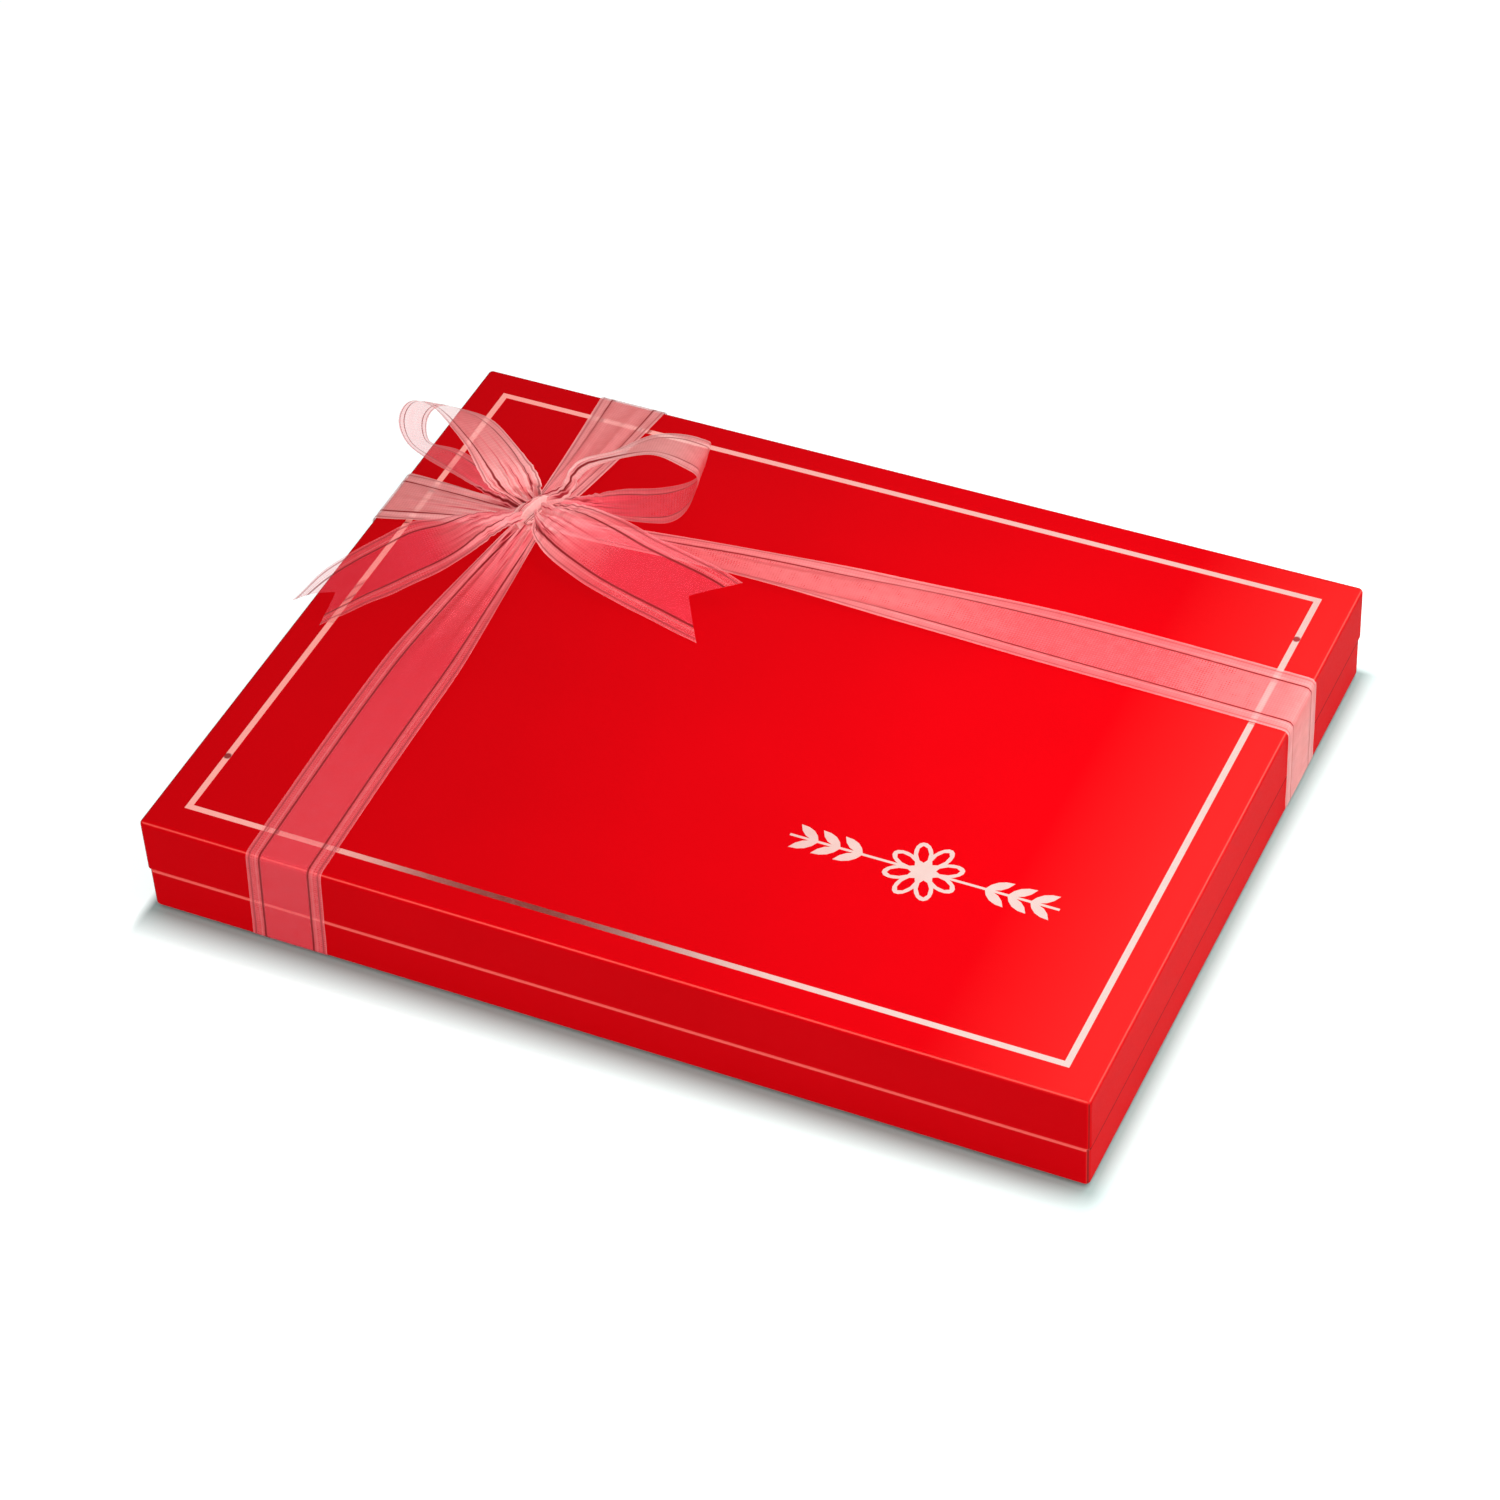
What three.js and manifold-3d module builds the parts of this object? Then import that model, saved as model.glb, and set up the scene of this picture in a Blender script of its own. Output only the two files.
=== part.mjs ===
// A gift box of chocolates: a rigid shoulder-neck box of paper-covered board,
// filled with pralines in a card grid and tied with a sheer ribbon and a bow.
// Millimetres, +Z up. X runs along the long side, the front faces -Y.
// Origin: the middle of the lid's footprint, on the surface that the box stands on.

import * as THREE from 'three';
import { mergeVertices } from 'three/addons/utils/BufferGeometryUtils.js';
import Module from 'manifold-3d';

const wasm = await Module();
wasm.setup();

// Box
const LID_LENGTH = 300;
const LID_WIDTH = 230;
const LID_HEIGHT = 19.7;
const BASE_HEIGHT = 15;
const SEAM_GAP = 0.3; // between the base's rim and the lid's rim
const LID_OVERHANG = 0.4; // lid past the base on each side, and its play on the neck
const BOARD = 2;
const PAPER = 0.3;
const EDGE_RADIUS = 1.5; // folded outer edges and corners
const RIM_RADIUS = 0.7; // paper turned over a rim
const CORNER_EASE = 0.8; // how much of an edge's rounding its corners give up in radius
const TURN_IN = 9; // paper glued down inside a rim
const LINER_PLAY = 0.3;
const NECK_BOARD = 1.8;
const NECK_RISE = 12; // neck above the base's rim

// Filling
const COLUMNS = 6;
const ROWS = 5;
const INSERT_PLAY = 0.5; // grid and pads inside the neck, on each side
const BOTTOM_PAD = 3;
const CARD = 0.8;
const CARD_PLAY = 0.3; // in the half-lap slots
const GRID_HEIGHT = 15;
const CHOCOLATE_HEIGHT = 19;
const FOOT_CHAMFER = 0.7; // under each praline
const LID_PLAY = 0.8; // between the top pad and the lid's lining

// Each praline: its plan, the radius of its upright corners, how far its sides lean in
// and how far it rounds over at the top.
const PRALINES = [
  { chocolate: 'milk', length: 34, width: 34, corner: 4, taper: 1.6, crown: 3 },
  { chocolate: 'dark', length: 35, width: 35, corner: 17.4, taper: 1.2, crown: 9 },
  { chocolate: 'white', length: 38, width: 25, corner: 6, taper: 1.2, crown: 5 },
];

// Foil on the lid
const FOIL = 0.1;
const BORDER_INSET = 10.1;
const BORDER_WIDTH = 2;
const ORNAMENT_FROM_RIGHT = 77;
const ORNAMENT_FROM_FRONT = 66;
const ROSETTE_RADIUS = 12;
const ROSETTE_WAIST = 7.4; // radius between two petals
const ROSETTE_PETALS = 8;
const PETAL_EYE_NEAR = 3.6; // each petal is open, from this radius
const PETAL_EYE_FAR = 10.6;
const PETAL_EYE_WIDTH = 3.3;
const SPRIG_LENGTH = 30;
const SPRIG_STEM = 0.9;
const SPRIG_LEAVES = 3;
const LEAF_LENGTH = 9;
const LEAF_WIDTH = 3.2;
const LEAF_SLANT = 34;

// Ribbon
const RIBBON_WIDTH = 25;
const RIBBON = 0.3;
const RIBBON_GAP = 0.4; // ribbon to the paper under it
const KNOT_FROM_LEFT = 50;
const KNOT_FROM_BACK = 67.5;
const KNOT_WIDTH = 14;
const KNOT_HEIGHT = 12;
const KNOT_CLEARANCE = 0.4;
const GATHERED_WIDTH = 8; // ribbon drawn together at the knot
const BAND_SEAT = 3; // height over its flat run at which a band leaves the knot
const TAIL_SEAT = 5.2; // height above the lid at which a tail leaves the knot

// Each band: its heading from the knot in plan, how far it reaches to the lid's edge, how far
// it takes to spread to its full width and how that spreading curves. To its left as it runs:
// its place at the edge and at the foot of the box, and its sway on the way.
const BANDS = {
  band_front: {
    heading: -90,
    reach: LID_WIDTH - KNOT_FROM_BACK,
    spread: 70,
    curve: 0.85,
    edge: -1,
    foot: -3.3,
    sway: -1.7,
  },
  band_back: {
    heading: 90,
    reach: KNOT_FROM_BACK,
    spread: 76,
    curve: 0.85,
    edge: -2.5,
    foot: -3,
    sway: -1,
  },
  band_left: {
    heading: 180,
    reach: KNOT_FROM_LEFT,
    spread: 50,
    curve: 1,
    edge: 2.5,
    foot: 3,
    sway: -0.5,
  },
  band_right: {
    heading: 0,
    reach: LID_LENGTH - KNOT_FROM_LEFT,
    spread: 165,
    curve: 1.3,
    edge: 9.5,
    foot: 12,
    sway: 4,
  },
};

// Each loop: its length and opening, its heading in plan, its climb and its lean.
const LOOPS = {
  loop_right: { length: 56, opening: 19, heading: 29, climb: 12, lean: -18 },
  loop_left: { length: 46, opening: 22, heading: 178, climb: 32, lean: 36 },
};
const LOOP_SPREAD = 30;

// Each tail: its length, its heading in plan, its sway to the left, the height of its end
// above the lid and the twist there.
const TAILS = {
  tail_right: { length: 77, heading: -14, sway: 1.5, end: 3.8, twist: 12 },
  tail_left: { length: 80, heading: -123, sway: -6.5, end: 6.2, twist: 10 },
};
const TAIL_NOTCH = 12.5;
const TAIL_SPREAD = 42;
const TAIL_CURVE = 0.7;

// How finely round things are divided
const EDGE_STEPS = 4;
const PRALINE_STEPS = 3;
const KNOT_STEPS = 16;
const BAND_STEPS = 8;
const LOOP_STEPS = 28;
const TAIL_STEPS = 14;
const PETAL_STEPS = 8;
const CURVE_STEPS = 4;

// Heights, from the surface up
const baseLow = RIBBON;
const baseHigh = baseLow + BASE_HEIGHT;
const lidLow = baseHigh + SEAM_GAP;
const lidHigh = lidLow + LID_HEIGHT;
const floorHigh = baseLow + PAPER + BOARD;
const linerHigh = floorHigh + PAPER;
const padHigh = linerHigh + BOTTOM_PAD;
const chocolateHigh = padHigh + CHOCOLATE_HEIGHT;
const ceilingLow = lidHigh - PAPER - BOARD;
const liningLow = ceilingLow - PAPER;
const ribbonLow = lidHigh + RIBBON_GAP;
const knotMiddle = ribbonLow + KNOT_HEIGHT / 2;

// Plan sizes
const baseLength = LID_LENGTH - 2 * LID_OVERHANG;
const baseWidth = LID_WIDTH - 2 * LID_OVERHANG;
const wall = PAPER + BOARD;
const neckLength = baseLength - 2 * (wall + PAPER);
const neckWidth = baseWidth - 2 * (wall + PAPER);
const insertLength = neckLength - 2 * (NECK_BOARD + INSERT_PLAY);
const insertWidth = neckWidth - 2 * (NECK_BOARD + INSERT_PLAY);

const CUT_PAST = 1; // how far a hollow is cut past the rim it opens at

const degrees = THREE.MathUtils.degToRad;

const MATERIALS = {
  redPaper: new THREE.MeshStandardMaterial({ color: 0xd0021b, roughness: 0.35 }),
  board: new THREE.MeshStandardMaterial({ color: 0xa39b8f, roughness: 0.9 }),
  whitePaper: new THREE.MeshStandardMaterial({ color: 0xf4efe6, roughness: 0.8 }),
  goldCard: new THREE.MeshStandardMaterial({ color: 0xc9a24e, roughness: 0.4, metalness: 0.6 }),
  foil: new THREE.MeshStandardMaterial({ color: 0xf3ddd2, roughness: 0.25, metalness: 0.9 }),
  organza: new THREE.MeshStandardMaterial({ color: 0xf6c9cd, roughness: 0.6 }),
  milk: new THREE.MeshStandardMaterial({ color: 0x6b3a1f, roughness: 0.45 }),
  dark: new THREE.MeshStandardMaterial({ color: 0x34190f, roughness: 0.4 }),
  white: new THREE.MeshStandardMaterial({ color: 0xeadcbc, roughness: 0.45 }),
};

/** Closes a list of corner points and triangles into a geometry whose faces point out. */
function closedGeometry(points, triangles) {
  const geometry = new THREE.BufferGeometry().setFromPoints(points);
  const volume = triangles.reduce(
    (sum, [a, b, c]) => sum + points[a].dot(points[b].clone().cross(points[c])),
    0,
  );
  const outward = volume > 0 ? triangles : triangles.map(([a, b, c]) => [a, c, b]);
  geometry.setIndex(outward.flat());
  return geometry;
}

/** Turns a closed geometry into a solid that can be joined and cut. */
function solid(geometry) {
  const bare = geometry.clone();
  bare.deleteAttribute('normal');
  bare.deleteAttribute('uv');
  const merged = mergeVertices(bare, 1e-4);
  return new wasm.Manifold(new wasm.Mesh({
    numProp: 3,
    vertProperties: new Float32Array(merged.attributes.position.array),
    triVerts: new Uint32Array(merged.index.array),
  }));
}

/** Turns a solid back into a geometry. */
function geometryOf(body) {
  const mesh = body.getMesh();
  const geometry = new THREE.BufferGeometry();
  geometry.setAttribute('position', new THREE.BufferAttribute(mesh.vertProperties, mesh.numProp));
  geometry.setIndex(new THREE.BufferAttribute(mesh.triVerts, 1));
  return geometry;
}

/** Adds a named mesh to a group. */
function addPiece(group, name, geometry, material) {
  const mesh = new THREE.Mesh(geometry, material);
  mesh.name = name;
  group.add(mesh);
  return mesh;
}

/** A plain block between two heights, centred on the box. */
function block(length, width, low, high) {
  return new THREE.BoxGeometry(length, width, high - low).translate(0, 0, (low + high) / 2);
}

/** The corners of a rectangle with rounded corners, counter-clockwise. */
function roundedRing(length, width, radius, steps) {
  const ring = [];
  for (let corner = 0; corner < 4; corner += 1) {
    const sideX = corner === 0 || corner === 3 ? 1 : -1;
    const sideY = corner < 2 ? 1 : -1;
    for (let step = 0; step <= steps; step += 1) {
      const angle = (corner + step / steps) * Math.PI / 2;
      ring.push(new THREE.Vector2(
        sideX * (length / 2 - radius) + radius * Math.cos(angle),
        sideY * (width / 2 - radius) + radius * Math.sin(angle),
      ));
    }
  }
  return ring;
}

/** A closed skin over rings of equal counts, each at its own height, with flat ends. */
function loft(levels) {
  const count = levels[0].ring.length;
  const points = levels.flatMap(({ ring, z }) => ring.map((p) => new THREE.Vector3(p.x, p.y, z)));
  const triangles = [];
  for (let level = 0; level + 1 < levels.length; level += 1) {
    for (let i = 0; i < count; i += 1) {
      const a = level * count + i;
      const b = level * count + (i + 1) % count;
      triangles.push([a, b, b + count], [a, b + count, a + count]);
    }
  }
  const last = (levels.length - 1) * count;
  for (let i = 1; i + 1 < count; i += 1) {
    triangles.push([0, i + 1, i], [last, last + i, last + i + 1]);
  }
  return closedGeometry(points, triangles);
}

/** A block with round upright corners and its own rounding along the low and high edges. */
function softBlock(length, width, low, high, corner, lowRadius, highRadius) {
  const levels = [];
  const addLevel = (inset, z) => levels.push({
    ring: roundedRing(length - 2 * inset, width - 2 * inset, corner - inset * CORNER_EASE, EDGE_STEPS),
    z,
  });
  for (let step = 0; step <= EDGE_STEPS; step += 1) {
    const angle = (step / EDGE_STEPS) * Math.PI / 2;
    addLevel(lowRadius * (1 - Math.sin(angle)), low + lowRadius * (1 - Math.cos(angle)));
  }
  for (let step = 0; step <= EDGE_STEPS; step += 1) {
    const angle = (step / EDGE_STEPS) * Math.PI / 2;
    addLevel(highRadius * (1 - Math.cos(angle)), high - highRadius * (1 - Math.sin(angle)));
  }
  return loft(levels);
}

/** The board tray and the paper over it, standing open side up between two heights. */
function coveredTray(length, width, low, high) {
  const outer = solid(softBlock(length, width, low, high, EDGE_RADIUS, EDGE_RADIUS, RIM_RADIUS));
  const inside = solid(block(length - 2 * wall, width - 2 * wall, low + wall, high + CUT_PAST));
  const board = solid(softBlock(
    length - 2 * PAPER, width - 2 * PAPER, low + PAPER, high - PAPER,
    EDGE_RADIUS - PAPER, EDGE_RADIUS - PAPER, RIM_RADIUS - PAPER,
  )).subtract(inside);
  const hollow = solid(block(length - 2 * wall, width - 2 * wall, low + wall, high - TURN_IN));
  const mouth = solid(block(
    length - 2 * (wall + PAPER), width - 2 * (wall + PAPER), low + wall, high + CUT_PAST,
  ));
  return { board, wrap: outer.subtract(board).subtract(hollow).subtract(mouth) };
}

/** The base: covered board tray, floor lining and the neck that the lid slides over. */
function makeBase() {
  const group = new THREE.Group();
  const tray = coveredTray(baseLength, baseWidth, baseLow, baseHigh);
  addPiece(group, 'base_wrap', geometryOf(tray.wrap), MATERIALS.redPaper);
  addPiece(group, 'base_board', geometryOf(tray.board), MATERIALS.board);
  const liner = block(
    baseLength - 2 * (wall + LINER_PLAY), baseWidth - 2 * (wall + LINER_PLAY), floorHigh, linerHigh,
  );
  addPiece(group, 'base_liner', liner, MATERIALS.whitePaper);
  const neckHigh = baseHigh + NECK_RISE;
  const neckOuter = solid(block(neckLength, neckWidth, linerHigh, neckHigh));
  const neckInner = solid(block(
    neckLength - 2 * NECK_BOARD, neckWidth - 2 * NECK_BOARD, linerHigh - CUT_PAST, neckHigh + CUT_PAST,
  ));
  addPiece(group, 'neck', geometryOf(neckOuter.subtract(neckInner)), MATERIALS.whitePaper);
  return group;
}

/** One card of the grid, drawn in X and height, with slots open at its top or its bottom. */
function slottedCard(length, crossings, slotsAtTop) {
  const slot = CARD / 2 + CARD_PLAY;
  const middle = GRID_HEIGHT / 2;
  const slotEnd = slotsAtTop ? middle - CARD_PLAY / 2 : middle + CARD_PLAY / 2;
  const slotted = slotsAtTop ? GRID_HEIGHT : 0;
  const outline = new THREE.Shape();
  outline.moveTo(-length / 2, GRID_HEIGHT - slotted);
  outline.lineTo(length / 2, GRID_HEIGHT - slotted);
  outline.lineTo(length / 2, slotted);
  [...crossings].reverse().forEach((x) => {
    outline.lineTo(x + slot, slotted);
    outline.lineTo(x + slot, slotEnd);
    outline.lineTo(x - slot, slotEnd);
    outline.lineTo(x - slot, slotted);
  });
  outline.lineTo(-length / 2, slotted);
  const card = new THREE.ExtrudeGeometry(outline, { depth: CARD, bevelEnabled: false });
  return card.translate(0, 0, -CARD / 2).rotateX(Math.PI / 2);
}

/** The middles of the lines that part a length into equal cells. */
function partings(length, cells) {
  return Array.from({ length: cells - 1 }, (_, i) => length * ((i + 1) / cells - 0.5));
}

/** One praline: a moulded block that narrows upwards and rounds over at the top. */
function praline({ length, width, corner, taper, crown }) {
  const levels = [
    { inset: FOOT_CHAMFER, height: 0 },
    { inset: 0, height: FOOT_CHAMFER },
    { inset: taper, height: CHOCOLATE_HEIGHT - crown },
  ];
  for (let step = 1; step <= PRALINE_STEPS; step += 1) {
    const angle = (step / PRALINE_STEPS) * Math.PI / 2;
    levels.push({
      inset: taper + crown * (1 - Math.cos(angle)),
      height: CHOCOLATE_HEIGHT - crown * (1 - Math.sin(angle)),
    });
  }
  return loft(levels.map(({ inset, height }) => {
    const radius = corner * (1 - 2 * inset / width);
    return { ring: roundedRing(length - 2 * inset, width - 2 * inset, radius, PRALINE_STEPS), z: height };
  }));
}

/** The filling: a soft pad on the floor, the card grid, the pralines and the pad over them. */
function makeFilling() {
  const group = new THREE.Group();
  const bottomPad = block(insertLength, insertWidth, linerHigh, padHigh);
  addPiece(group, 'bottom_pad', bottomPad, MATERIALS.whitePaper);

  const columnLines = partings(insertLength, COLUMNS);
  const rowLines = partings(insertWidth, ROWS);
  rowLines.forEach((y, i) => {
    const card = slottedCard(insertLength, columnLines, true).translate(0, y, padHigh);
    addPiece(group, `divider_long_${i + 1}`, card, MATERIALS.goldCard);
  });
  columnLines.forEach((x, i) => {
    const card = slottedCard(insertWidth, rowLines, false).rotateZ(Math.PI / 2).translate(x, 0, padHigh);
    addPiece(group, `divider_short_${i + 1}`, card, MATERIALS.goldCard);
  });

  const cellLength = insertLength / COLUMNS;
  const cellWidth = insertWidth / ROWS;
  for (let row = 0; row < ROWS; row += 1) {
    for (let column = 0; column < COLUMNS; column += 1) {
      const kind = PRALINES[(row + column) % PRALINES.length];
      const number = String(row * COLUMNS + column + 1).padStart(2, '0');
      const mesh = addPiece(group, `chocolate_${number}`, praline(kind), MATERIALS[kind.chocolate]);
      mesh.position.set(
        (column + 0.5) * cellLength - insertLength / 2,
        (row + 0.5) * cellWidth - insertWidth / 2,
        padHigh,
      );
    }
  }

  const topPad = block(insertLength, insertWidth, chocolateHigh, liningLow - LID_PLAY);
  addPiece(group, 'top_pad', topPad, MATERIALS.whitePaper);
  return group;
}

/** A flat figure of foil lying on the lid. */
function foilSheet(shape) {
  return new THREE.ExtrudeGeometry(shape, { depth: FOIL, bevelEnabled: false, curveSegments: CURVE_STEPS });
}

/** A rectangle as a closed path, centred. */
function rectangle(path, length, width) {
  path.moveTo(-length / 2, -width / 2);
  path.lineTo(length / 2, -width / 2);
  path.lineTo(length / 2, width / 2);
  path.lineTo(-length / 2, width / 2);
  path.closePath();
  return path;
}

/** The thin foil frame round the lid's top. */
function foilBorder() {
  const length = LID_LENGTH - 2 * BORDER_INSET;
  const width = LID_WIDTH - 2 * BORDER_INSET;
  const frame = rectangle(new THREE.Shape(), length, width);
  frame.holes.push(rectangle(new THREE.Path(), length - 2 * BORDER_WIDTH, width - 2 * BORDER_WIDTH));
  return foilSheet(frame);
}

/** A pointed leaf from the origin along +X. */
function leaf() {
  const shape = new THREE.Shape();
  shape.moveTo(0, 0);
  shape.quadraticCurveTo(LEAF_LENGTH / 2, LEAF_WIDTH, LEAF_LENGTH, 0);
  shape.quadraticCurveTo(LEAF_LENGTH / 2, -LEAF_WIDTH, 0, 0);
  return shape;
}

/** A rosette of round open petals, with a gap between two petals on +X. */
function rosette() {
  const points = ROSETTE_PETALS * PETAL_STEPS;
  const shape = new THREE.Shape(Array.from({ length: points }, (_, i) => {
    const angle = (i / points) * 2 * Math.PI;
    const petal = Math.abs(Math.sin(angle * ROSETTE_PETALS / 2));
    const radius = ROSETTE_WAIST + (ROSETTE_RADIUS - ROSETTE_WAIST) * petal;
    return new THREE.Vector2(radius * Math.cos(angle), radius * Math.sin(angle));
  }));
  const middle = (PETAL_EYE_NEAR + PETAL_EYE_FAR) / 2;
  const reach = (PETAL_EYE_FAR - PETAL_EYE_NEAR) / 2;
  for (let i = 0; i < ROSETTE_PETALS; i += 1) {
    const turn = ((i + 0.5) / ROSETTE_PETALS) * 2 * Math.PI;
    const eye = new THREE.Path();
    eye.absellipse(
      middle * Math.cos(turn), middle * Math.sin(turn), reach, PETAL_EYE_WIDTH / 2, 0, 2 * Math.PI, false, turn,
    );
    shape.holes.push(eye);
  }
  return shape;
}

/** The foil ornament: a rosette between two leafy sprigs, as one stamped figure. */
function foilOrnament() {
  const stem = rectangle(new THREE.Shape(), 2 * (ROSETTE_RADIUS + SPRIG_LENGTH), SPRIG_STEM);
  let figure = solid(foilSheet(rosette())).add(solid(foilSheet(stem)));
  for (const side of [0, Math.PI]) {
    for (let i = 1; i <= SPRIG_LEAVES; i += 1) {
      for (const slant of [-LEAF_SLANT, LEAF_SLANT]) {
        const out = ROSETTE_RADIUS + (SPRIG_LENGTH - LEAF_LENGTH) * (i / SPRIG_LEAVES);
        const sheet = foilSheet(leaf()).rotateZ(degrees(slant)).translate(out, 0, 0).rotateZ(side);
        figure = figure.add(solid(sheet));
      }
    }
  }
  return geometryOf(figure);
}

/** The lid: covered board tray turned over, its lining and the foil on its top. */
function makeLid() {
  const group = new THREE.Group();
  const tray = coveredTray(LID_LENGTH, LID_WIDTH, -lidHigh, -lidLow);
  const turnOver = (body) => geometryOf(body).rotateX(Math.PI);
  addPiece(group, 'lid_wrap', turnOver(tray.wrap), MATERIALS.redPaper);
  addPiece(group, 'lid_board', turnOver(tray.board), MATERIALS.board);
  const lining = block(
    LID_LENGTH - 2 * (wall + LINER_PLAY), LID_WIDTH - 2 * (wall + LINER_PLAY), liningLow, ceilingLow,
  );
  addPiece(group, 'lid_liner', lining, MATERIALS.whitePaper);
  addPiece(group, 'foil_border', foilBorder(), MATERIALS.foil).position.z = lidHigh;
  const ornament = addPiece(group, 'foil_ornament', foilOrnament(), MATERIALS.foil);
  ornament.position.set(
    LID_LENGTH / 2 - ORNAMENT_FROM_RIGHT,
    ORNAMENT_FROM_FRONT - LID_WIDTH / 2,
    lidHigh,
  );
  return group;
}

/**
 * A strip of ribbon. Each station has its middle, its half-width across the ribbon and its
 * half-thickness. A notch pulls the middle of the last station back along the strip.
 */
function ribbonStrip(stations, notch = 0) {
  const points = [];
  stations.forEach(({ middle, across, through }, i) => {
    const isLast = i === stations.length - 1;
    const back = new THREE.Vector3();
    if (isLast && notch > 0) {
      back.subVectors(stations[i - 1].middle, middle).setLength(notch);
    }
    for (const side of [-1, 1]) {
      for (const share of [-1, 0, 1]) {
        const point = middle.clone().addScaledVector(across, share * side).addScaledVector(through, -side);
        points.push(share === 0 ? point.add(back) : point);
      }
    }
  });
  const cornerCount = 6;
  const triangles = [];
  for (let i = 0; i + 1 < stations.length; i += 1) {
    for (let k = 0; k < cornerCount; k += 1) {
      const a = i * cornerCount + k;
      const b = i * cornerCount + (k + 1) % cornerCount;
      triangles.push([a, b, b + cornerCount], [a, b + cornerCount, a + cornerCount]);
    }
  }
  const last = (stations.length - 1) * cornerCount;
  for (const [a, b, c] of [[0, 1, 5], [1, 4, 5], [1, 2, 4], [2, 3, 4]]) {
    triangles.push([a, c, b], [last + a, last + b, last + c]);
  }
  return closedGeometry(points, triangles);
}

/** The width of a ribbon that spreads out from the knot. */
function spreadWidth(distance, spread, curve) {
  const share = THREE.MathUtils.clamp(distance / spread, 0, 1);
  return GATHERED_WIDTH + (RIBBON_WIDTH - GATHERED_WIDTH) * share ** curve;
}

/**
 * A band from the knot over the lid's edge and down to the foot of the box, drawn as if it
 * ran along +X from the knot.
 */
function band({ reach, spread, curve, edge, foot, sway }) {
  const bend = EDGE_RADIUS + RIBBON_GAP + RIBBON / 2;
  const start = KNOT_WIDTH / 2;
  const flatEnd = reach - EDGE_RADIUS;
  const crowding = 1.5; // stations lie closer together near the knot
  const stations = [];
  const addStation = (x, y, z, tilt, width) => stations.push({
    middle: new THREE.Vector3(x, y, z),
    across: new THREE.Vector3(0, width / 2, 0),
    through: new THREE.Vector3(Math.sin(tilt), 0, Math.cos(tilt)).multiplyScalar(RIBBON / 2),
  });
  for (let i = 0; i < BAND_STEPS; i += 1) {
    const x = start + (flatEnd - start) * (i / BAND_STEPS) ** crowding;
    const y = edge * (x / reach) + sway * Math.sin(Math.PI * x / reach);
    const z = ribbonLow + RIBBON / 2 + BAND_SEAT * (1 - x / flatEnd);
    addStation(x, y, z, 0, spreadWidth(x, spread, curve));
  }
  const edgeWidth = spreadWidth(reach, spread, curve);
  for (let i = 0; i <= EDGE_STEPS; i += 1) {
    const tilt = (i / EDGE_STEPS) * Math.PI / 2;
    const z = lidHigh - EDGE_RADIUS + bend * Math.cos(tilt);
    addStation(flatEnd + bend * Math.sin(tilt), edge, z, tilt, edgeWidth);
  }
  addStation(flatEnd + bend, foot, RIBBON + RIBBON_GAP, Math.PI / 2, edgeWidth);
  return ribbonStrip(stations);
}

/** A loop of the bow, drawn along +X from the knot: out over the top and back underneath. */
function loop({ length, opening }) {
  const drop = (angle) => Math.sin(angle) * Math.sin(angle / 2) ** 2;
  const tallest = drop(2 * Math.PI / 3);
  const at = (angle) => new THREE.Vector2(
    length * (1 - Math.cos(angle)) / 2,
    (opening / 2) * drop(angle) / tallest,
  );
  const start = Math.acos(1 - 2 * (KNOT_WIDTH / 2 + KNOT_CLEARANCE) / length);
  const nudge = 0.01; // either side of a station, to find which way the ribbon runs there
  const stations = [];
  for (let i = 0; i <= LOOP_STEPS; i += 1) {
    const angle = start + 2 * (Math.PI - start) * (i / LOOP_STEPS);
    const here = at(angle);
    const way = at(angle + nudge).sub(at(angle - nudge)).normalize();
    stations.push({
      middle: new THREE.Vector3(here.x, 0, here.y),
      across: new THREE.Vector3(0, spreadWidth(here.x, LOOP_SPREAD, 1) / 2, 0),
      through: new THREE.Vector3(-way.y, 0, way.x).multiplyScalar(RIBBON / 2),
    });
  }
  return ribbonStrip(stations);
}

/** A tail of the bow, drawn along +X from the knot, twisting towards its notched end. */
function tail({ length, sway, end, twist }) {
  const start = KNOT_WIDTH / 2 + KNOT_CLEARANCE;
  const notchShare = (length - TAIL_NOTCH - start) / (length - start);
  const stations = [];
  for (let i = 0; i <= TAIL_STEPS; i += 1) {
    const share = i === TAIL_STEPS ? 1 : notchShare * (i / (TAIL_STEPS - 1));
    const x = start + (length - start) * share;
    const y = sway * Math.sin(Math.PI * share);
    const z = lidHigh + TAIL_SEAT + (end - TAIL_SEAT) * share;
    const turn = degrees(twist * share);
    const half = spreadWidth(x, TAIL_SPREAD, TAIL_CURVE) / 2;
    stations.push({
      middle: new THREE.Vector3(x, y, z),
      across: new THREE.Vector3(0, Math.cos(turn), Math.sin(turn)).multiplyScalar(half),
      through: new THREE.Vector3(0, -Math.sin(turn), Math.cos(turn)).multiplyScalar(RIBBON / 2),
    });
  }
  return ribbonStrip(stations, TAIL_NOTCH);
}

/** The two corners, in plan from the knot, where a band meets the cross under the box. */
function footCorners({ heading, reach, spread, curve, foot }) {
  const out = reach + RIBBON_GAP + RIBBON;
  const half = spreadWidth(reach, spread, curve) / 2;
  const turn = (x, y) => new THREE.Vector2(x, y).rotateAround(new THREE.Vector2(), degrees(heading));
  return [turn(out, foot - half), turn(out, foot + half)];
}

/** The flat cross of ribbon under the box, which the box stands on. */
function underside() {
  const strip = (one, other) => {
    const outline = new THREE.Shape([...footCorners(one), ...footCorners(other)]);
    return solid(new THREE.ExtrudeGeometry(outline, { depth: RIBBON, bevelEnabled: false }));
  };
  const across = strip(BANDS.band_front, BANDS.band_back);
  const along = strip(BANDS.band_left, BANDS.band_right);
  return geometryOf(across.add(along));
}

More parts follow.
